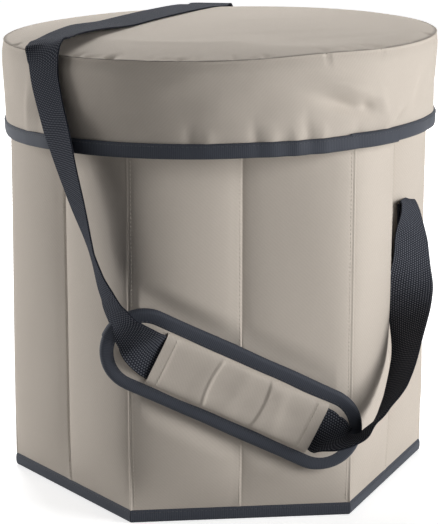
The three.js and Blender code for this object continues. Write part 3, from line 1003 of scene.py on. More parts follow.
# The skirt's folds: degrees round, share of the drop, slope in degrees (falling to the right), half length, half
# width and depth in mm
SKIRT_FOLDS = (
    (-63.0, 0.35, 18.0, 30.0, 7.0, 3.6),
    (-64.5, 0.56, 18.0, 27.0, 5.5, -4.4),
    (-57.5, 0.60, 35.0, 7.0, 4.0, -2.8),
    (-52.5, 0.58, 60.0, 12.0, 5.0, 1.8),
    (-84.0, 0.88, 86.0, 9.0, 5.5, 1.9),
    (-88.0, 0.84, 84.0, 11.0, 3.6, -1.5),
    (-78.0, 0.90, 88.0, 10.0, 4.6, 2.0),
    (-74.8, 0.82, 84.0, 12.0, 3.2, -1.8),
    (-71.0, 0.88, 86.0, 10.0, 5.0, 1.7),
    (-61.0, 0.88, 96.0, 9.0, 5.0, -1.6),
    (-51.0, 0.86, -25.0, 16.0, 5.0, 1.8),
    (-46.0, 0.76, -28.0, 13.0, 2.6, -1.6),
    (-36.0, 0.52, -60.0, 14.0, 6.0, -1.6),
    (-30.0, 0.50, -60.0, 14.0, 6.0, 1.4),
    (-99.0, 0.86, 90.0, 8.0, 6.0, 1.3),
    (-103.5, 0.82, 88.0, 9.0, 4.0, -1.0),
    (-112.0, 0.30, 12.0, 30.0, 8.0, 0.9),
    (-147.0, 0.52, 98.0, 20.0, 5.5, -2.3),
    (-152.5, 0.58, 96.0, 19.0, 5.5, 1.9),
    (-142.5, 0.88, 90.0, 8.0, 3.5, -1.4),
    (-69.4, 0.03, 90.0, 6.0, 1.7, -1.5),
    (-68.2, 0.03, 90.0, 6.0, 1.5, 1.0),
    (-52.3, 0.02, 90.0, 3.0, 1.6, -1.3),
)
# Long faint lines that the top's cloth is stretched in: y and x of the middle in mm, slope, half length and
# height in mm
TOP_STRETCHES = (
    (-95.0, 60.0, 0.42, 70.0, 0.35),
    (-108.0, 75.0, 0.50, 60.0, -0.45),
    (-60.0, 30.0, 0.25, 90.0, 0.30),
    (-75.0, 40.0, 0.30, 80.0, -0.25),
    (20.0, 40.0, 0.20, 90.0, 0.25),
    (-110.0, -60.0, -0.55, 35.0, 0.30),
)


@dataclass
class Seat:
    """The lid: a crowned top, a soft skirt that hangs from the seam, and the ribbed tape round its hem.

    Attributes:
        crown_rise, crown_power: how far the top rises over the seam, and the power by which it rolls down to it.
        flat_share, right_flat, right_sink: the share of the radius that is flat, how much more that is on the
            right, and how much of the rise is lost there.
        stretch_width: half the width of a stretch line.
        seam_shade, seam_shade_width: how strongly painted shadow darkens the top's cloth at the seam, and how far
            in from it that begins.
        seam_gap, cloth, lip: the seam's gap, the cloth's thickness and the welt under the seam.
        around, skirt_rows, tape_steps: the meshes' steps.
        tape_height, tape_thickness, tape_end, tape_overlap: of the hem's tape; its end is a turn.
        tilt: how much the lid drops towards the left, as a slope.
        right_width, left_width: over what turn the skirt is drawn in at each side.
        right_pull, left_pull, side_sag: how far it is drawn in there, and how much lower its hem hangs.
        bulge, right_less, left_less: in mm, the shoulder below the seam, and what it lacks at each side.
        skirt_height: the length that the folds' shares of the drop are of.
        wave, wave_turn, wave_width: how far the seam rises a little right of the front.
    """

    crown_rise: float = 7 * MM
    crown_power: float = 1.5
    flat_share: float = 0.66
    right_flat: float = 0.2
    right_sink: float = 0.5
    stretch_width: float = 4.5 * MM
    seam_shade: float = 1.3
    seam_shade_width: float = 3.2 * MM
    seam_gap: float = 0.5 * MM
    cloth: float = 1.2 * MM
    lip: float = 0.9 * MM
    around: int = 420
    skirt_rows: int = 70
    tape_steps: int = 460
    tape_height: float = 12 * MM
    tape_thickness: float = 1.6 * MM
    tape_end: float = math.radians(-47.5)
    tape_overlap: float = math.radians(16)
    tilt: float = 0.0195
    right_width: float = math.radians(38)
    left_width: float = math.radians(34)
    right_pull: float = 10.3 * MM
    left_pull: float = 6.5 * MM
    side_sag: float = 4.5 * MM
    bulge: float = 3.2
    right_less: float = 2.0
    left_less: float = 1.2
    skirt_height: float = 68 * MM
    wave: float = 2.2 * MM
    wave_turn: float = math.radians(-70)
    wave_width: float = math.radians(16)

    @property
    def seam_height(self) -> float:
        """The height of the seam between top and skirt."""
        return SEAT_TOP - self.crown_rise

    def lean(self, points: Grid) -> Grid:
        """The lid sits a little askew: each point drops towards the left by the tilt."""
        return points + points[..., :1] * np.array([0.0, 0.0, self.tilt])

    def sides(self, turn: Grid) -> tuple[Grid, Grid]:
        """How near a turn is to the stool's right and to its left, each a bell curve."""
        return bump(turned(turn, 0.0), 0.0, self.right_width), bump(turned(turn, math.pi), 0.0, self.left_width)

    def hem_lift(self, turn: Grid) -> Grid:
        """How much the hem is above its level: less than nothing where the skirt is drawn in."""
        right, left = self.sides(turn)
        return -self.side_sag * (right + left)

    def seam_wave(self, turn: Grid) -> Grid:
        """How much the seam rises above its level."""
        return self.wave * bump(turned(turn, self.wave_turn), 0.0, self.wave_width)

    def top_surface(self, radius: Grid, turn: Grid) -> Grid:
        """Height of the top.

        Flat to two thirds of the radius, then rolled down to the seam by a power of the share that is left. On
        the right it sinks a little from the middle outwards and rolls later and less. To these come a faint ridge
        where the roll begins, long soft waves, a few stretch lines and short puckers at the seam.

        Args:
            radius, turn: the place, round the axis.

        Returns:
            The height of each place.
        """
        share = np.clip(radius / SEAM_RADIUS, 0, 1)
        right = smoothstep(np.cos(turn), -0.15, 0.45)
        flat = self.flat_share + self.right_flat * right
        ramp = np.clip((share - flat) / (1 - flat), 0, 1)
        dome = self.crown_rise * (1 - ramp ** self.crown_power)
        dome = dome * (1 - self.right_sink * right * smoothstep(share, 0.15, 0.85))
        x, y = radius * np.cos(turn), radius * np.sin(turn)
        waves = 0.8 * MM * ripple(x * 2.2, y * 2.2, 5, 8, 3.0) * (1 - share ** 6)
        front_left = bump(turned(turn, -2.0), 0.0, 0.9)
        waves = waves + 0.45 * MM * bump(share, self.flat_share + 0.03, 0.022) * front_left
        for middle_y, middle_x, slope, length, height in TOP_STRETCHES:
            line = (y - middle_y * MM) - slope * (x - middle_x * MM)
            waves = waves + height * MM * bump(line, 0.0, self.stretch_width) * bump(x, middle_x * MM, length * MM)
        waves = waves + self.seam_wave(turn) * share ** 5
        pucker = np.zeros(dome.shape)
        random = np.random.default_rng(23)
        for centre in np.concatenate([random.uniform(0, FULL_TURN, 34), PUCKERS]):
            width, depth = random.uniform(0.010, 0.022), random.uniform(0.6, 1.6) * MM
            start = 1 - random.uniform(0.05, 0.12)
            pucker -= depth * bump(turned(turn, centre), 0.0, width) * smoothstep(share, start, 0.985)
        return self.seam_height + dome + waves + pucker * (1 - smoothstep(share, 0.985, 1.0))

    def build_top(self) -> None:
        """Makes the seat's top: a polar grid over the dome, closed by the same grid a cloth's thickness below."""
        shares = np.concatenate([np.linspace(0, 0.8, 26), np.linspace(0.8, 1, 34)[1:]])
        turn = np.linspace(0, FULL_TURN, self.around, endpoint=False)
        share, angle = np.meshgrid(shares, turn, indexing="ij")
        radius = share * SEAM_RADIUS
        over = polar(radius, angle, self.top_surface(radius, angle))
        under = over[::-1] - np.array([0.0, 0.0, self.cloth])
        top = closed_disc("seat_top_cloth", self.lean(over), self.lean(under))
        # Painted shadow: the top's cloth darkens over the last few mm before its seam.
        shade_from = SEAM_RADIUS - self.seam_shade_width
        mark_seam_shade(top, lambda co: self.seam_shade * smoothstep(np.hypot(co[:, 0], co[:, 1]), shade_from, SEAM_RADIUS))
        dress(top, BEIGE, "cover_fabric", "lid", "seat_top_panel")

    def build_foam(self) -> None:
        """Makes the foam under the top: the same dome a little lower, down to the board, leaning with the lid."""
        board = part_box("seat_board")[1].z
        turn = np.linspace(0, FULL_TURN, 120, endpoint=False)
        share, angle = np.meshgrid(np.linspace(0, 1, 24), turn, indexing="ij")
        radius = share * (SEAM_RADIUS - 4 * MM)
        over = self.lean(polar(radius, angle, self.top_surface(radius, angle) - self.cloth - 2.4 * MM))
        over[..., 2] = np.maximum(over[..., 2], board + 0.6 * MM)
        under = over[::-1].copy()
        under[..., 2] = board + 0.2 * MM
        foam = closed_disc("seat_foam_pad", over, under, sharp=40)
        dress(foam, FOAM, "foam", "lid", "seat_foam")

    def skirt_radius(self, drop: Grid, turn: Grid) -> Grid:
        """Radius of the skirt at a share of the way from seam to hem.

        A quarter-sine shoulder out to the bulge, a slow flare to the hem, drawn in at both sides, fine gathers
        under the seam, broad folds in the middle, and the dents and bumps of SKIRT_FOLDS.

        Args:
            drop: the share of the way from seam to hem.
            turn: the turn round the axis.

        Returns:
            The radius of each place.
        """
        right, left = self.sides(turn)
        shoulder = (self.bulge - self.right_less * right - self.left_less * left) * MM \
            * np.sin(np.pi / 2 * np.clip(drop / 0.16, 0, 1)) ** 0.8
        lip = self.lip * bump(drop, 0.0, 0.012)
        base = SEAM_RADIUS + lip + shoulder + (SKIRT_RADIUS - SEAM_RADIUS - self.bulge * MM) * drop
        base = base - (self.right_pull * right + self.left_pull * left) * drop ** 1.3
        gathers = 0.5 * MM * ripple(turn * 2.5, drop * 0.6, 31, 9, 9.0) * np.exp(-drop * 5) \
            * smoothstep(drop, 0, 0.05)
        folds = 1.4 * MM * ripple(turn * 1.1, drop * 0.7, 44, 8, 4.0) * np.sin(np.pi * np.clip(drop, 0, 1)) ** 0.7
        radius = np.maximum(base + gathers + folds, SEAM_RADIUS - 0.6 * MM)
        for centre, at, slope, length, width, depth in SKIRT_FOLDS:
            right_of = turned(turn, math.radians(centre)) * SKIRT_RADIUS
            below = (drop - at) * self.skirt_height
            c, s = math.cos(math.radians(slope)), math.sin(math.radians(slope))
            radius = radius + depth * MM * bump(right_of * c + below * s, 0.0, length * MM) \
                * bump(below * c - right_of * s, 0.0, width * MM)
        return radius

    def build_skirt(self) -> None:
        """Makes the skirt, a closed band between its outer face and one a cloth's thickness inside."""
        top, low = self.seam_height - self.seam_gap, HEM_Z + 3 * MM
        drop = np.linspace(0, 1, self.skirt_rows)
        turn = np.linspace(0, FULL_TURN, self.around, endpoint=False)
        angle, share = np.meshgrid(turn, drop, indexing="ij")
        radius = self.skirt_radius(share, angle)
        height = top + (low - top) * share + self.hem_lift(angle) * share
        height = height + self.seam_wave(angle) * (1 - share) ** 2
        outer = polar(radius, angle, height)
        shrink = 1 - self.cloth / radius
        inner = outer * np.stack([shrink, shrink, np.ones_like(shrink)], -1)
        section = np.concatenate([outer, inner[:, ::-1]], axis=1)
        v = np.append(np.concatenate([drop, 1.05 + drop]) * (top - low), 2.1 * (top - low))
        uv = grid_uv(np.append(turn, FULL_TURN) * SEAM_RADIUS, v)
        skirt = Skin("seat_skirt_cloth", self.lean(section), uv, wrap_rows=True, sharp=70).build()
        dress(skirt, BEIGE, "cover_fabric", "lid", "seat_skirt")

    def build_tape(self) -> None:
        """Makes the hem's tape: once round and on over its own start, where the cut end stands proud."""
        count, half, thick = self.tape_steps, self.tape_height / 2, self.tape_thickness
        turn = self.tape_end - np.linspace(0, FULL_TURN + self.tape_overlap, count)
        lap = smoothstep(turn, self.tape_end - self.tape_overlap, self.tape_end - self.tape_overlap * 0.4)
        middle = self.skirt_radius(np.ones(count), turn) + 0.3 * MM + lap * thick
        round_off = np.linspace(-np.pi / 2, np.pi / 2, 9)
        outside = np.stack([thick * np.cos(round_off) ** 0.4, half * np.sin(round_off)], -1)
        section = np.vstack([outside, [[-0.4 * MM, half], [-0.4 * MM, -half]]])
        sway = 0.5 * MM * ripple(turn * 0.8, np.zeros(count), 9, 5, 3.0) + self.hem_lift(turn)
        radius = middle[:, None] + section[None, :, 0]
        height = (HEM_Z + half + sway)[:, None] + section[None, :, 1]
        points = self.lean(polar(radius, turn[:, None], height))
        around = arc_length(np.vstack([section, section[:1]]))
        band = Skin("seat_hem_tape", points, grid_uv(turn * SKIRT_RADIUS, around)).build()
        dress(band, TAPE, "binding_tape", "lid", "seat_binding")
        line = polar(middle + thick * 0.93, turn, HEM_Z + 0.83 * self.tape_height + sway)
        stitches = Thread(radius=0.3 * MM).sew("seat_hem_stitches", self.lean(line), polar(1.0, turn, 0.0))
        dress(stitches, DARK_THREAD, "binding_tape", "lid")


@dataclass
class Ribbon:
    """A flat length of webbing with rounded edges, carried along stations of a middle and a way across.

    The flat part takes up flat_share of the half width and the rounded edge the edge_share that is left.
    """

    width: float = WEBBING_WIDTH
    thickness: float = WEBBING_THICKNESS
    across_steps: int = 13
    belly: float = 0.25 * MM
    flat_share: float = 0.965
    edge_share: float = 0.035

    def section(self) -> tuple[Grid, Grid]:
        """The rounded section as shares of the half width, and lifts off the middle."""
        flat = np.linspace(-self.flat_share, self.flat_share, self.across_steps)
        half = self.thickness / 2
        swell = half + self.belly * (1 - (flat / self.flat_share) ** 4) - self.belly
        turn = np.linspace(math.pi / 2, -math.pi / 2, 7)[1:-1]
        edge = self.flat_share + self.edge_share * np.cos(turn)
        lift = half * np.sin(turn) * 0.85
        across = np.concatenate([flat, edge, flat[::-1], -edge])
        return across, np.concatenate([swell, lift, -swell[::-1], -lift])

    def lay(self, name: str, stations: Grid, count: int, start: float = 0.0) -> Piece:
        """Carries the section along a smooth curve through the stations.

        Args:
            name: the piece's name.
            stations: rows of x, y, z in metres and a unit way across.
            count: the number of rows of the mesh.
            start: the webbing's length before this piece, so that its weave runs on.

        Returns:
            The webbing's object.
        """
        curve = catmull_rom(stations, count)
        middle, across = curve[:, :3], unit(curve[:, 3:6])
        ahead = unit(np.gradient(middle, axis=0))
        across = unit(across - ahead * np.sum(across * ahead, axis=1, keepdims=True))
        normal = np.cross(across, ahead)
        share, lift = self.section()
        points = (middle[:, None] + across[:, None] * (share * self.width / 2)[None, :, None]
                  + normal[:, None] * lift[None, :, None])
        around = np.append(share, share[0]) * self.width / 2 + self.width / 2
        around[len(share) // 2:] = self.width - around[len(share) // 2:]
        return Skin(name, points, grid_uv(start + arc_length(middle), around)).build()


# Strap stations as shares of the ridge's radius and of the wall's height, with the way across the webbing
LEFT_SHARES = (
    (-0.847, -0.616, 1.075, 0.58, -0.8, 0.12),
    (-0.844, -0.634, 1.033, 0.55, -0.82, 0.17),
    (-0.832, -0.655, 0.995, 0.52, -0.83, 0.2),
    (-0.814, -0.685, 0.95, 0.48, -0.85, 0.23),
    (-0.792, -0.731, 0.906, 0.44, -0.86, 0.25),
    (-0.751, -0.804, 0.823, 0.32, -0.91, 0.27),
    (-0.713, -0.853, 0.753, 0.22, -0.94, 0.26),
    (-0.674, -0.887, 0.681, 0.07, -0.97, 0.25),
    (-0.655, -0.904, 0.643, 0.03, -0.97, 0.25),
    (-0.622, -0.954, 0.586, 0.11, -0.94, 0.34),
    (-0.597, -0.98, 0.558, 0.18, -0.9, 0.4),
    (-0.568, -0.994, 0.527, 0.27, -0.86, 0.43),
    (-0.531, -1.011, 0.497, 0.35, -0.75, 0.56),
    (-0.469, -0.995, 0.46, 0.41, -0.54, 0.74),
)
RIGHT_SHARES = (
    (0.378, -0.972, 0.217, 0.43, 0.5, 0.66),
    (0.405, -1.008, 0.214, 0.36, 0.86, 0.33),
    (0.439, -1.039, 0.215, 0.29, 0.95, 0.14),
    (0.482, -1.05, 0.22, 0.19, 0.98, -0.02),
    (0.524, -1.04, 0.228, 0.14, 0.98, -0.15),
    (0.565, -1.017, 0.243, 0.14, 0.96, -0.24),
    (0.616, -0.98, 0.259, 0.12, 0.94, -0.3),
    (0.668, -0.92, 0.279, 0.0, 0.96, -0.26),
    (0.718, -0.83, 0.304, -0.15, 0.96, -0.23),
    (0.784, -0.68, 0.36, -0.35, 0.91, -0.21),
    (0.81, -0.605, 0.412, -0.57, 0.74, -0.16),
    (0.831, -0.525, 0.479, -0.79, 0.26, -0.11),
    (0.851, -0.455, 0.551, -0.92, -0.37, 0.05),
    (0.856, -0.406, 0.616, -0.8, -0.58, 0.0),
    (0.857, -0.377, 0.664, -0.58, -0.8, -0.08),
    (0.845, -0.365, 0.694, -0.5, -0.85, 0.14),
    (0.832, -0.358, 0.705, -0.5, -0.85, 0.2),
)
BACK_SHARES = (
    (0.09, 1.048, 1.05, -0.98, 0.1, 0.1),
    (0.06, 1.067, 0.96, -0.97, 0.0, 0.2),
    (0.0, 1.073, 0.84, -0.95, 0.0, 0.3),
    (-0.12, 1.06, 0.7, -0.85, -0.1, 0.5),
    (-0.3, 1.0, 0.585, -0.72, -0.25, 0.64),
    (-0.48, 0.9, 0.53, -0.6, -0.5, 0.6),
    (-0.64, 0.76, 0.525, -0.5, -0.75, 0.4),
    (-0.77, 0.61, 0.55, -0.5, -0.8, 0.25),
    (-0.85, 0.5, 0.6, -0.5, -0.84, 0.1),
    (-0.868, 0.43, 0.66, -0.5, -0.866, 0.0),
    (-0.852, 0.375, 0.695, -0.5, -0.866, 0.0),
    (-0.84, 0.363, 0.706, -0.5, -0.866, 0.0),
    (-0.83, 0.357, 0.712, -0.5, -0.866, 0.0),
)
# Over the seat, all in mm: x, y and the lift off the cloth, and the way across. The webbing arches over the rim.
SEAT_ROWS = (
    (-147.0, -91.5, 5.6, 0.56, -0.82, 0.1),
    (-142.0, -80.0, 5.0, 0.64, -0.75, 0.13),
    (-131.0, -62.5, 4.4, 0.8, -0.585, 0.1),
    (-111.0, -26.0, 2.6, 0.854, -0.52, 0.0),
    (-100.0, -9.0, 1.4, 0.854, -0.52, -0.02),
    (-88.0, 10.0, 0.3, 0.854, -0.52, -0.01),
    (-69.3, 42.2, 0.0, 0.854, -0.52, 0.0),
    (-38.0, 93.4, 0.0, 0.854, -0.52, 0.0),
    (-7.0, 144.7, 0.0, 0.87, -0.49, 0.0),
    (6.0, 168.0, 0.3, 0.92, -0.38, 0.0),
)
# At the rim, in front and behind: x, y and z in mm, and the way across
RIM_ROWS = (
    (-150.4, -102.7, 383.2, 0.53, -0.85, 0.06),
    (12.0, 183.0, 383.5, 0.96, -0.27, 0.0),
)


def scaled(rows: tuple[tuple[float, ...], ...]) -> Grid:
    """Strap stations in metres from shares of the ridge's radius and of the wall's height."""
    table = np.array(rows)
    return np.column_stack([table[:, :2] * RIDGE_RADIUS, table[:, 2] * WALL_TOP, unit(table[:, 3:6])])


@dataclass
class PadPlane:
    """The tilted plane that the shoulder pad lies in: along it, up across it, and out of it."""

    tilt: float = math.radians(26)
    middle_x: float = -8 * MM
    middle_z: float = 113 * MM
    back: float = RIDGE_APOTHEM + 5.5 * MM
    straight: float = 79.5 * MM

    def reach(self, x: Grid, z: Grid) -> Grid:
        """How far a place on the front is from the pad's middle line.

        Args:
            x, z: the place.

        Returns:
            The distance in the plane.
        """
        c, s = math.cos(self.tilt), math.sin(self.tilt)
        along = (x - self.middle_x) * c - (z - self.middle_z) * s
        up = (x - self.middle_x) * s + (z - self.middle_z) * c
        return np.hypot(np.maximum(np.abs(along) - self.straight, 0), up)

    def place(self, along: Grid, up: Grid, out: Grid) -> Grid:
        """Points in the frame for places in the pad's plane.

        Args:
            along, up, out: along the pad, up across it, and out of it.

        Returns:
            One point for each place.
        """
        along, up, out = np.broadcast_arrays(along, up, out)
        c, s = math.cos(self.tilt), math.sin(self.tilt)
        return np.stack([self.middle_x + along * c + up * s, -self.back - out,
                         self.middle_z - along * s + up * c], -1)

    def out_of(self) -> Grid:
        """The way out of the plane."""
        return self.place(0.0, 0.0, 1.0) - self.place(0.0, 0.0, 0.0)


@dataclass
class Strap:
    """The carrying strap: over the seat, through the pad, and round to a sewn end at each side.

    Attributes:
        sleeve_half, sleeve_middle, slot_middle: where it runs in the sleeve: half the length, the middle along
            the pad, and the height over the pad's back.
        lid_height, wall_height: the heights between which the left run would go over from the lid to the wall; not
            used.
        back_split: the station of the back run where the long webbing ends and the back loop begins.
        anchor_low, anchor_high, anchor_middle: where the sewn ends lie, up and along their face.
        anchor_lift: how far the sewn webbing's middle is off the cover.
        seam_inset: how far its stitches are from its edges.
    """

    ribbon: Ribbon
    plane: PadPlane
    seat: Seat
    sleeve_half: float = 72.3 * MM
    sleeve_middle: float = 4 * MM
    slot_middle: float = 7.6 * MM
    lid_height: float = 0.36
    wall_height: float = 0.20
    back_split: int = 6
    anchor_low: float = 143 * MM
    anchor_high: float = 246 * MM
    anchor_middle: float = 20 * MM
    anchor_lift: float = 1.2 * MM
    seam_inset: float = 3 * MM

    def sleeve_station(self, along: float) -> Grid:
        """A station inside the sleeve.

        Args:
            along: where it is along the pad.

        Returns:
            One row: its place, and the pad's up as the way across.
        """
        middle = self.plane.place(along, 0.0, self.slot_middle)
        across = self.plane.place(along, 1.0, self.slot_middle) - middle
        return np.concatenate([middle, across])[None]

    def over_seat(self) -> Grid:
        """Stations over the seat, from its front left rim to its back rim, lifted off the leaning dome."""
        rows = np.array(SEAT_ROWS)
        x, y, lift = rows[:, 0] * MM, rows[:, 1] * MM, rows[:, 2] * MM
        height = self.seat.top_surface(np.hypot(x, y), np.arctan2(y, x)) + self.seat.tilt * x
        lying = np.column_stack([x, y, height + lift + 1.3 * MM, unit(rows[:, 3:])])
        front, back = (np.concatenate([row[:3] * MM, unit(row[3:])])[None] for row in np.array(RIM_ROWS))
        return np.vstack([front, lying, back])

    def build(self) -> None:
        """Makes the four lengths of webbing and the two sewn ends.

        The back run, the part over the seat and the left run are one curve, cut in two at the back.
        """
        left, right, back = (scaled(rows) for rows in (LEFT_SHARES, RIGHT_SHARES, BACK_SHARES))
        back[:, 3:] *= -1
        start, end = (self.sleeve_station(self.sleeve_middle + side * self.sleeve_half) for side in (-1, 1))
        whole = catmull_rom(np.vstack([back[::-1], self.over_seat()[::-1], left, start, end]), 900)
        join = int(np.argmin(np.linalg.norm(whole[:, :3] - back[self.back_split, :3], axis=1)))
        long = self.ribbon.lay("strap_over_seat_and_left", whole[join:], 620)
        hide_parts("strap_over_seat", "strap_left_run")
        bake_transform(long)
        tail = self.ribbon.lay("strap_back_loop", whole[:join + 1][::-1], 200)
        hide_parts("strap_back_run")
        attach(tail, "left_back_inner_wall")
        mouth = self.sleeve_middle + self.sleeve_half
        leave = [self.sleeve_station(mouth + step * 4 * MM) for step in (-2, -1, 0)]
        loop = catmull_rom(np.vstack(leave + [right]), 420)
        along = loop[:, :3] @ Face.RIGHT_FRONT.along
        cut = int(np.argmax((along > -38 * MM) & (loop[:, 0] > 0.1)))
        low = self.ribbon.lay("strap_right_low", loop[:cut + 1], 260)
        high = self.ribbon.lay("strap_right_high", loop[cut:], 240, float(arc_length(loop[:cut + 1, :3])[-1]))
        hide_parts("strap_right_run")
        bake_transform(low)
        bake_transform(high)
        for piece in (long, tail, low, high):
            dress(piece, WEBBING, "webbing")
        self.anchor(Face.RIGHT_FRONT, "strap_right_anchor", "right_front_inner_wall")
        self.anchor(Face.LEFT_BACK, "strap_left_anchor", "left_back_inner_wall")

    def anchor(self, face: Face, node: str, body: str) -> None:
        """A sewn end: webbing flat on the padding, its top slanted down away from the crease.

        A stitched box and cross hold its foot, and a row its top.

        Args:
            face: the face that it is sewn to.
            node: the CAD node that it stands for.
            body: the body that it rides on.
        """
        covers = WallCovers()
        wall = next(w for w in WALLS if w.face is face)
        heights = np.linspace(self.anchor_low, self.anchor_high, 60)
        share, lift = self.ribbon.section()
        a, z = np.meshgrid(self.anchor_middle + share * WEBBING_WIDTH / 2, heights)
        away = np.abs(a) / (self.anchor_middle + WEBBING_WIDTH / 2)
        z = z - (2 + 8 * away ** 2) * MM * smoothstep(z, self.anchor_high - 30 * MM, self.anchor_high)
        lying = covers.surface(wall, a / HALF_FACE, z)
        flat = np.maximum(lying, lying.mean(axis=1, keepdims=True) - 1.0 * MM)
        points = place_on(face, a, flat + self.anchor_lift + lift[None, :], z)
        around = np.append(share, share[0]) * WEBBING_WIDTH / 2
        made = Skin(f"{node}_webbing", points, grid_uv(heights, around)).build()
        dress(made, WEBBING, "webbing", body, node)
        half = WEBBING_WIDTH / 2 - self.seam_inset
        foot, head, row = self.anchor_low + 4 * MM, self.anchor_low + 34 * MM, self.anchor_high - 16 * MM
        routes = {
            "box": [(-half, foot), (half, foot), (half, head), (-half, head), (-half, foot)],
            "cross": [(-half, foot), (half, head)],
            "cross_back": [(-half, head), (half, foot)],
            "top_row": [(-half, row), (half, row)],
        }
        for label, route in routes.items():
            knots = np.array(route)
            length = arc_length(knots)
            steps = np.linspace(0, length[-1], 160)
            a = self.anchor_middle + np.interp(steps, length, knots[:, 0])
            z = np.interp(steps, length, knots[:, 1])
            out = covers.surface(wall, a / HALF_FACE, z) + self.anchor_lift + WEBBING_THICKNESS / 2
            seam = Thread(radius=0.32 * MM).sew(f"{node}_{label}", place_on(face, a, out, z), face.out)
            dress(seam, DARK_THREAD, "webbing", body)


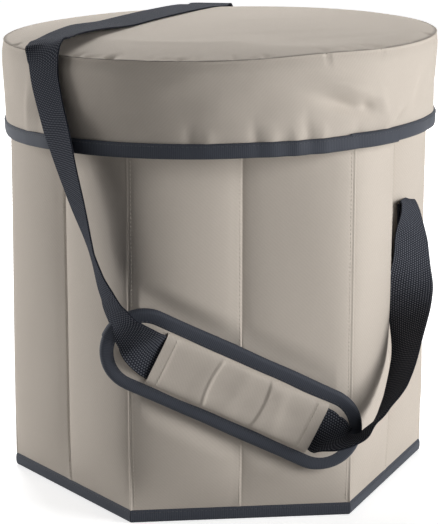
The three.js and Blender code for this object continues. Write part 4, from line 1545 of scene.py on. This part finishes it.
@dataclass
class ShoulderPad:
    """The shoulder pad: a padded strip with round ends, bound with tape, and a cloth sleeve for the webbing.

    Attributes:
        length, width, thickness, crown: of the pad; the crown is how far its middle stands out.
        tape, tape_proud, tape_start, tape_turns: the binding's width, how far it stands out, the share of the
            way round where it starts, and how often it goes round.
        sleeve_length, sleeve_width, sleeve_middle, sleeve_top, sleeve_cloth: of the sleeve; its middle is along
            the pad, its top is over the pad's back.
        sleeve_seam: how far the sleeve's stitches are from its ends.
    """

    plane: PadPlane
    length: float = 228 * MM
    width: float = 69 * MM
    thickness: float = 6 * MM
    crown: float = 2.2 * MM
    tape: float = 12 * MM
    tape_proud: float = 1.2 * MM
    tape_start: float = 0.347
    tape_turns: float = 1.035
    sleeve_length: float = 144 * MM
    sleeve_width: float = 44.4 * MM
    sleeve_middle: float = 4 * MM
    sleeve_top: float = 11.2 * MM
    sleeve_cloth: float = 1.0 * MM
    sleeve_seam: float = 8.6 * MM

    def outline(self, count: int) -> tuple[Grid, Grid, Grid]:
        """Round the pad: the points of its middle line, and the way out from there, evenly spaced.

        Args:
            count: how many steps there are, a multiple of four.

        Returns:
            The middle line's along, and the along and up parts of the way out.
        """
        straight = (self.length - self.width) / 2
        part = count // 4
        run = np.linspace(straight, -straight, part, endpoint=False)
        turn = np.linspace(0, math.pi, part, endpoint=False)
        middle = np.concatenate([run, np.full(part, -straight), -run, np.full(part, straight)])
        up, down = np.full(part, math.pi / 2), np.full(part, -math.pi / 2)
        way = np.concatenate([up, math.pi / 2 + turn, down, -math.pi / 2 + turn])
        return middle, np.cos(way), np.sin(way)

    def build_base(self) -> None:
        """The padded base: a grid from the middle line to the edge and back below, crowned by a parabola."""
        middle, way_along, way_up = self.outline(240)
        edge = self.width / 2 - 2.5 * MM
        shares = np.concatenate([np.linspace(0, 0.9, 14), np.linspace(0.9, 1, 7)[1:]])
        share, _ = np.meshgrid(shares, middle, indexing="ij")
        along = middle[None] + share * edge * way_along[None]
        up = share * edge * way_up[None]
        quilt = 0.35 * MM * ripple(along * 6, up * 6, 77, 9, 5.0)
        over = self.thickness + self.crown * (1 - share ** 2) * (1 - 0.4 * share) + quilt * (1 - share ** 4) \
            - 2.0 * MM * smoothstep(share, 0.72, 1.0)
        points = np.concatenate([self.plane.place(along, up, over),
                                 self.plane.place(along, up, np.zeros_like(up))[::-1]])
        uv = np.stack([along, up], -1)
        uv = np.concatenate([uv, uv[::-1]])
        uv = np.concatenate([uv, uv[:, :1]], axis=1)
        base = Skin("pad_padded_base", points, uv, merge=True, sharp=70).build()
        dress(base, BEIGE, "cover_fabric", "shoulder_pad", "pad_base")

    def build_tape(self) -> None:
        """The binding: tape folded over the edge, once round and on over its own cut start."""
        count = 520
        order = (int(self.tape_start * count) + np.arange(int(count * self.tape_turns))) % count
        middle, way_along, way_up = (part[order] for part in self.outline(count))
        step = np.arange(len(order)) / count
        lap = smoothstep(step, 0.985, 1.0) * 1.1 * MM
        edge, top = self.width / 2, self.thickness + self.tape_proud
        turn = np.linspace(math.pi / 2, -math.pi / 2, 11)
        side = edge - 3.4 * MM + 3.6 * MM * np.cos(turn)
        side_out = top / 2 + 0.1 * MM + (top / 2 + 0.1 * MM) * np.sin(turn)
        inner = edge - self.tape
        radial = np.concatenate([[inner, inner, edge - self.tape * 0.62], side, [inner]])
        out = np.concatenate([[top - 2.6 * MM, top - 0.7 * MM, top + 0.1 * MM], side_out, [0.0]])
        out = np.maximum(out, 0.0)
        wobble = 0.35 * MM * ripple(step * 3.0, np.zeros(len(step)), 15, 8, 6.0)
        r = radial[None] + lap[:, None] + wobble[:, None] * (radial[None] > edge - 4 * MM)
        o = out[None] + lap[:, None] * (out[None] > 3 * MM)
        points = self.plane.place(middle[:, None] + r * way_along[:, None], r * way_up[:, None], o)
        around = arc_length(np.column_stack([radial, out]))
        around = np.append(around, around[-1] + 3 * MM)
        band = Skin("pad_binding_tape", points, grid_uv(arc_length(points[:, 8]), around)).build()
        dress(band, TAPE, "binding_tape", "shoulder_pad", "pad_binding")
        sewn = edge - self.tape * 0.8 + lap
        line = self.plane.place(middle + sewn * way_along, sewn * way_up, top - 0.25 * MM + lap)
        seam = Thread(radius=0.3 * MM).sew("pad_binding_stitches", line, self.plane.out_of())
        dress(seam, DARK_THREAD, "binding_tape", "shoulder_pad")

    def sleeve_out(self, along: Grid, share: Grid) -> Grid:
        """How far the sleeve stands out: a flat arch over the webbing, with the creases that it pulls in the cloth.

        The arch is the root of one minus the eighth power of the share. Each crease is a bell curve, but for one
        that rises steeply and falls slowly.

        Args:
            along: the place along the pad.
            share: the share of the half width, -1 to 1.

        Returns:
            The height over the pad's back.
        """
        arch = (1 - np.abs(share) ** 8) ** 0.5
        base = self.thickness + 0.4 * MM
        bow = 3 * MM * (1 - share ** 2)
        crease = 0.9 * MM * bump(along + bow, -17.6 * MM, 1.5 * MM)
        crease += 0.7 * MM * bump(along + bow, -22 * MM, 8 * MM)
        rise, fall = smoothstep(along - bow, 22.6 * MM, 25 * MM), smoothstep(along - bow, 25 * MM, 44 * MM)
        crease += 1.0 * MM * (rise - fall)
        crease += 0.6 * MM * bump(along + 3 * MM * share, 40 * MM, 6 * MM)
        crease += 0.5 * MM * bump(along - 4 * MM * share, 3 * MM, 7 * MM)
        soft = 0.45 * MM * ripple(along * 9, share * 0.5, 61, 9, 4.0)
        ends = np.minimum(along - (self.sleeve_middle - self.sleeve_length / 2),
                          self.sleeve_middle + self.sleeve_length / 2 - along)
        hem = 0.35 * MM * (1 - smoothstep(ends, 9.2 * MM, 11.2 * MM))
        return base + (self.sleeve_top - base) * arch \
            + (crease + soft) * arch * smoothstep(ends, 6 * MM, 16 * MM) + hem

    def build_sleeve(self) -> None:
        """The sleeve: a thin arch of cloth from binding to binding, hemmed and stitched at both ends."""
        half = self.sleeve_width / 2
        along = self.sleeve_middle + np.linspace(-0.5, 0.5, 150) * self.sleeve_length
        a, s = np.meshgrid(along, np.sin(np.linspace(-math.pi / 2, math.pi / 2, 41)), indexing="ij")
        up = s * self.sleeve_width / 2
        over = self.sleeve_out(a, s)
        inside = np.maximum(over - self.sleeve_cloth, self.thickness - 0.2 * MM)
        inner = self.plane.place(a, up * (1 - self.sleeve_cloth / half), inside)[:, ::-1]
        points = np.concatenate([self.plane.place(a, up, over), inner], axis=1)
        around = np.append(np.concatenate([up[0], up[0, ::-1] + 0.05]), up[0, 0])
        sleeve = Skin("pad_sleeve_cloth", points, grid_uv(along, around)).build()
        dress(sleeve, BEIGE, "cover_fabric", "shoulder_pad", "pad_sleeve")
        steps = np.linspace(-0.93, 0.93, 120)
        for label, inset in (("left", self.sleeve_seam), ("right", self.sleeve_length - self.sleeve_seam)):
            at = np.full(120, self.sleeve_middle - self.sleeve_length / 2 + inset)
            line = self.plane.place(at, steps * self.sleeve_width / 2, self.sleeve_out(at, steps))
            seam = Thread().sew(f"pad_sleeve_{label}_stitches", line, self.plane.out_of())
            dress(seam, PALE_THREAD, "cover_fabric", "shoulder_pad")


@dataclass(frozen=True)
class Lamp:
    """A soft rectangular area lamp aimed at the stool.

    Attributes:
        name: the lamp's name.
        turn: degrees round from the front towards the right.
        rise: degrees above the stool's middle.
        distance, width, height: in metres.
        power: in watts.
    """

    name: str
    turn: float
    rise: float
    distance: float
    width: float
    height: float
    power: float

    def build(self) -> None:
        """Makes the lamp and puts it in its place."""
        aim = Vector((0.0, 0.0, 0.19))
        a, e = math.radians(self.turn), math.radians(self.rise)
        way = Vector((math.sin(a) * math.cos(e), -math.cos(a) * math.cos(e), math.sin(e)))
        place = aim + self.distance * way
        data = bpy.data.lights.new(self.name, "AREA")
        data.shape, data.size, data.size_y, data.energy = "RECTANGLE", self.width, self.height, self.power
        made = add_object(self.name, data)
        made.location = place
        made.rotation_euler = (aim - place).to_track_quat("-Z", "Y").to_euler()


LAMPS = (Lamp("right_softbox", 58.0, 14.0, 2.0, 0.9, 1.2, 35.5),
         Lamp("left_softbox", -106.0, 14.0, 2.0, 0.8, 1.2, 23.5),
         Lamp("back_softbox", 180.0, 34.0, 2.2, 1.4, 0.5, 53.0))


@dataclass
class Studio:
    """A pale floor and world, soft lamps on three sides, and the camera at the photo's angle.

    Attributes:
        camera_place, azimuth, dip, lens: the camera's place, the way it looks and its lens in mm.
        floor_size, floor_drop: half the floor's width, and how far it is below the stool's foot.
        floor_light: the strength that the camera sees added to the floor near the stool and far from it.
        floor_near, floor_far: where the one goes over into the other.
        world_light: the world's strength for all but what the camera sees.
    """

    camera_place: tuple[float, float, float] = (-0.1848, -1.6980, 0.588)
    azimuth: float = math.radians(6.21)
    dip: float = math.radians(13.47)
    lens: float = 138.1
    floor_size: float = 40.0
    floor_drop: float = 0.3 * MM
    floor_light: tuple[float, float] = (0.66, 1.0)
    floor_near: float = 0.3
    floor_far: float = 1.4
    world_light: float = 0.03

    def build(self) -> None:
        """Makes the camera, floor, world and lamps."""
        scene = bpy.context.scene
        scene.view_settings.view_transform = "Standard"
        camera = add_object("camera", bpy.data.cameras.new("camera"))
        camera.data.lens, camera.data.sensor_width = self.lens, 36.0
        look = Vector((math.sin(self.azimuth) * math.cos(self.dip),
                       math.cos(self.azimuth) * math.cos(self.dip), -math.sin(self.dip)))
        camera.location = self.camera_place
        camera.rotation_euler = look.to_track_quat("-Z", "Y").to_euler()
        scene.camera = camera
        self.floor()
        self.world()
        for lamp in LAMPS:
            lamp.build()

    def floor(self) -> None:
        """A wide flat floor: a pale matte surface that the camera sees lifted to the white of the backdrop."""
        size = self.floor_size
        corners = ((-size, -size), (size, -size), (size, size), (-size, size))
        mesh = bpy.data.meshes.new("floor")
        mesh.from_pydata([(x, y, -self.floor_drop) for x, y in corners], [], [(0, 1, 2, 3)])
        made = add_object("floor", mesh)
        material, tree, shader = new_material("pale floor")
        shader.inputs["Base Color"].default_value = (0.72, 0.72, 0.72, 1)
        shader.inputs["Roughness"].default_value = 0.9
        shader.inputs["Specular IOR Level"].default_value = 0.0
        shader.inputs["Emission Color"].default_value = (1, 1, 1, 1)
        away = tree.node("ShaderNodeVectorMath", operation="LENGTH")
        tree.feed(away.inputs[0], tree.place())
        far = tree.node("ShaderNodeMapRange", interpolation_type="SMOOTHSTEP")
        for key, value in zip(("From Min", "From Max", "To Min", "To Max"),
                              (self.floor_near, self.floor_far, *self.floor_light)):
            far.inputs[key].default_value = value
        tree.feed(far.inputs["Value"], away.outputs["Value"])
        tree.feed(shader.inputs["Emission Strength"],
                  tree.math("MULTIPLY", tree.seen_directly(), far.outputs["Result"]))
        made.data.materials.append(material)

    def world(self) -> None:
        """White where the camera, a mirror or a glass looks, and a dim even light for the rest."""
        world = bpy.data.worlds.new("studio")
        bpy.context.scene.world = world
        world.use_nodes = True
        tree = Tree(world.node_tree)
        background = world.node_tree.nodes["Background"]
        background.inputs["Color"].default_value = (1, 1, 1, 1)
        strength = tree.math("MULTIPLY_ADD", tree.seen_directly(), 1 - self.world_light, self.world_light)
        tree.feed(background.inputs["Strength"], strength)


def dress_frame() -> None:
    """Gives the CAD nodes that stay showing their film and board finishes."""
    for name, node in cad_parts.items():
        is_film = name.endswith("_lining") or name == "bottom_cloth"
        if is_film or "board" in name or "leaf" in name:
            node.data.materials.clear()
            node.data.materials.append(bpy.data.materials[(FILM if is_film else BOARD).name])


def main() -> None:
    """Builds the stool's cloth round the frame, then its studio."""
    logging.basicConfig(level=logging.INFO)
    for make in (weave_group, rib_group, webbing_group, mottle_group):
        make()
    for finish in FINISHES:
        finish.material()
    Studio().build()
    dress_frame()
    for wall in WALLS:
        WallCovers().build(wall)
        WallTapes().build(wall)
        log.info("wall %s", wall.name)
    seat = Seat()
    seat.build_top()
    seat.build_foam()
    seat.build_skirt()
    seat.build_tape()
    log.info("seat")
    plane = PadPlane()
    Strap(Ribbon(), plane, seat).build()
    log.info("strap")
    pad = ShoulderPad(plane)
    pad.build_base()
    pad.build_tape()
    pad.build_sleeve()
    log.info("shoulder pad")


if __name__ == "__main__":
    main()
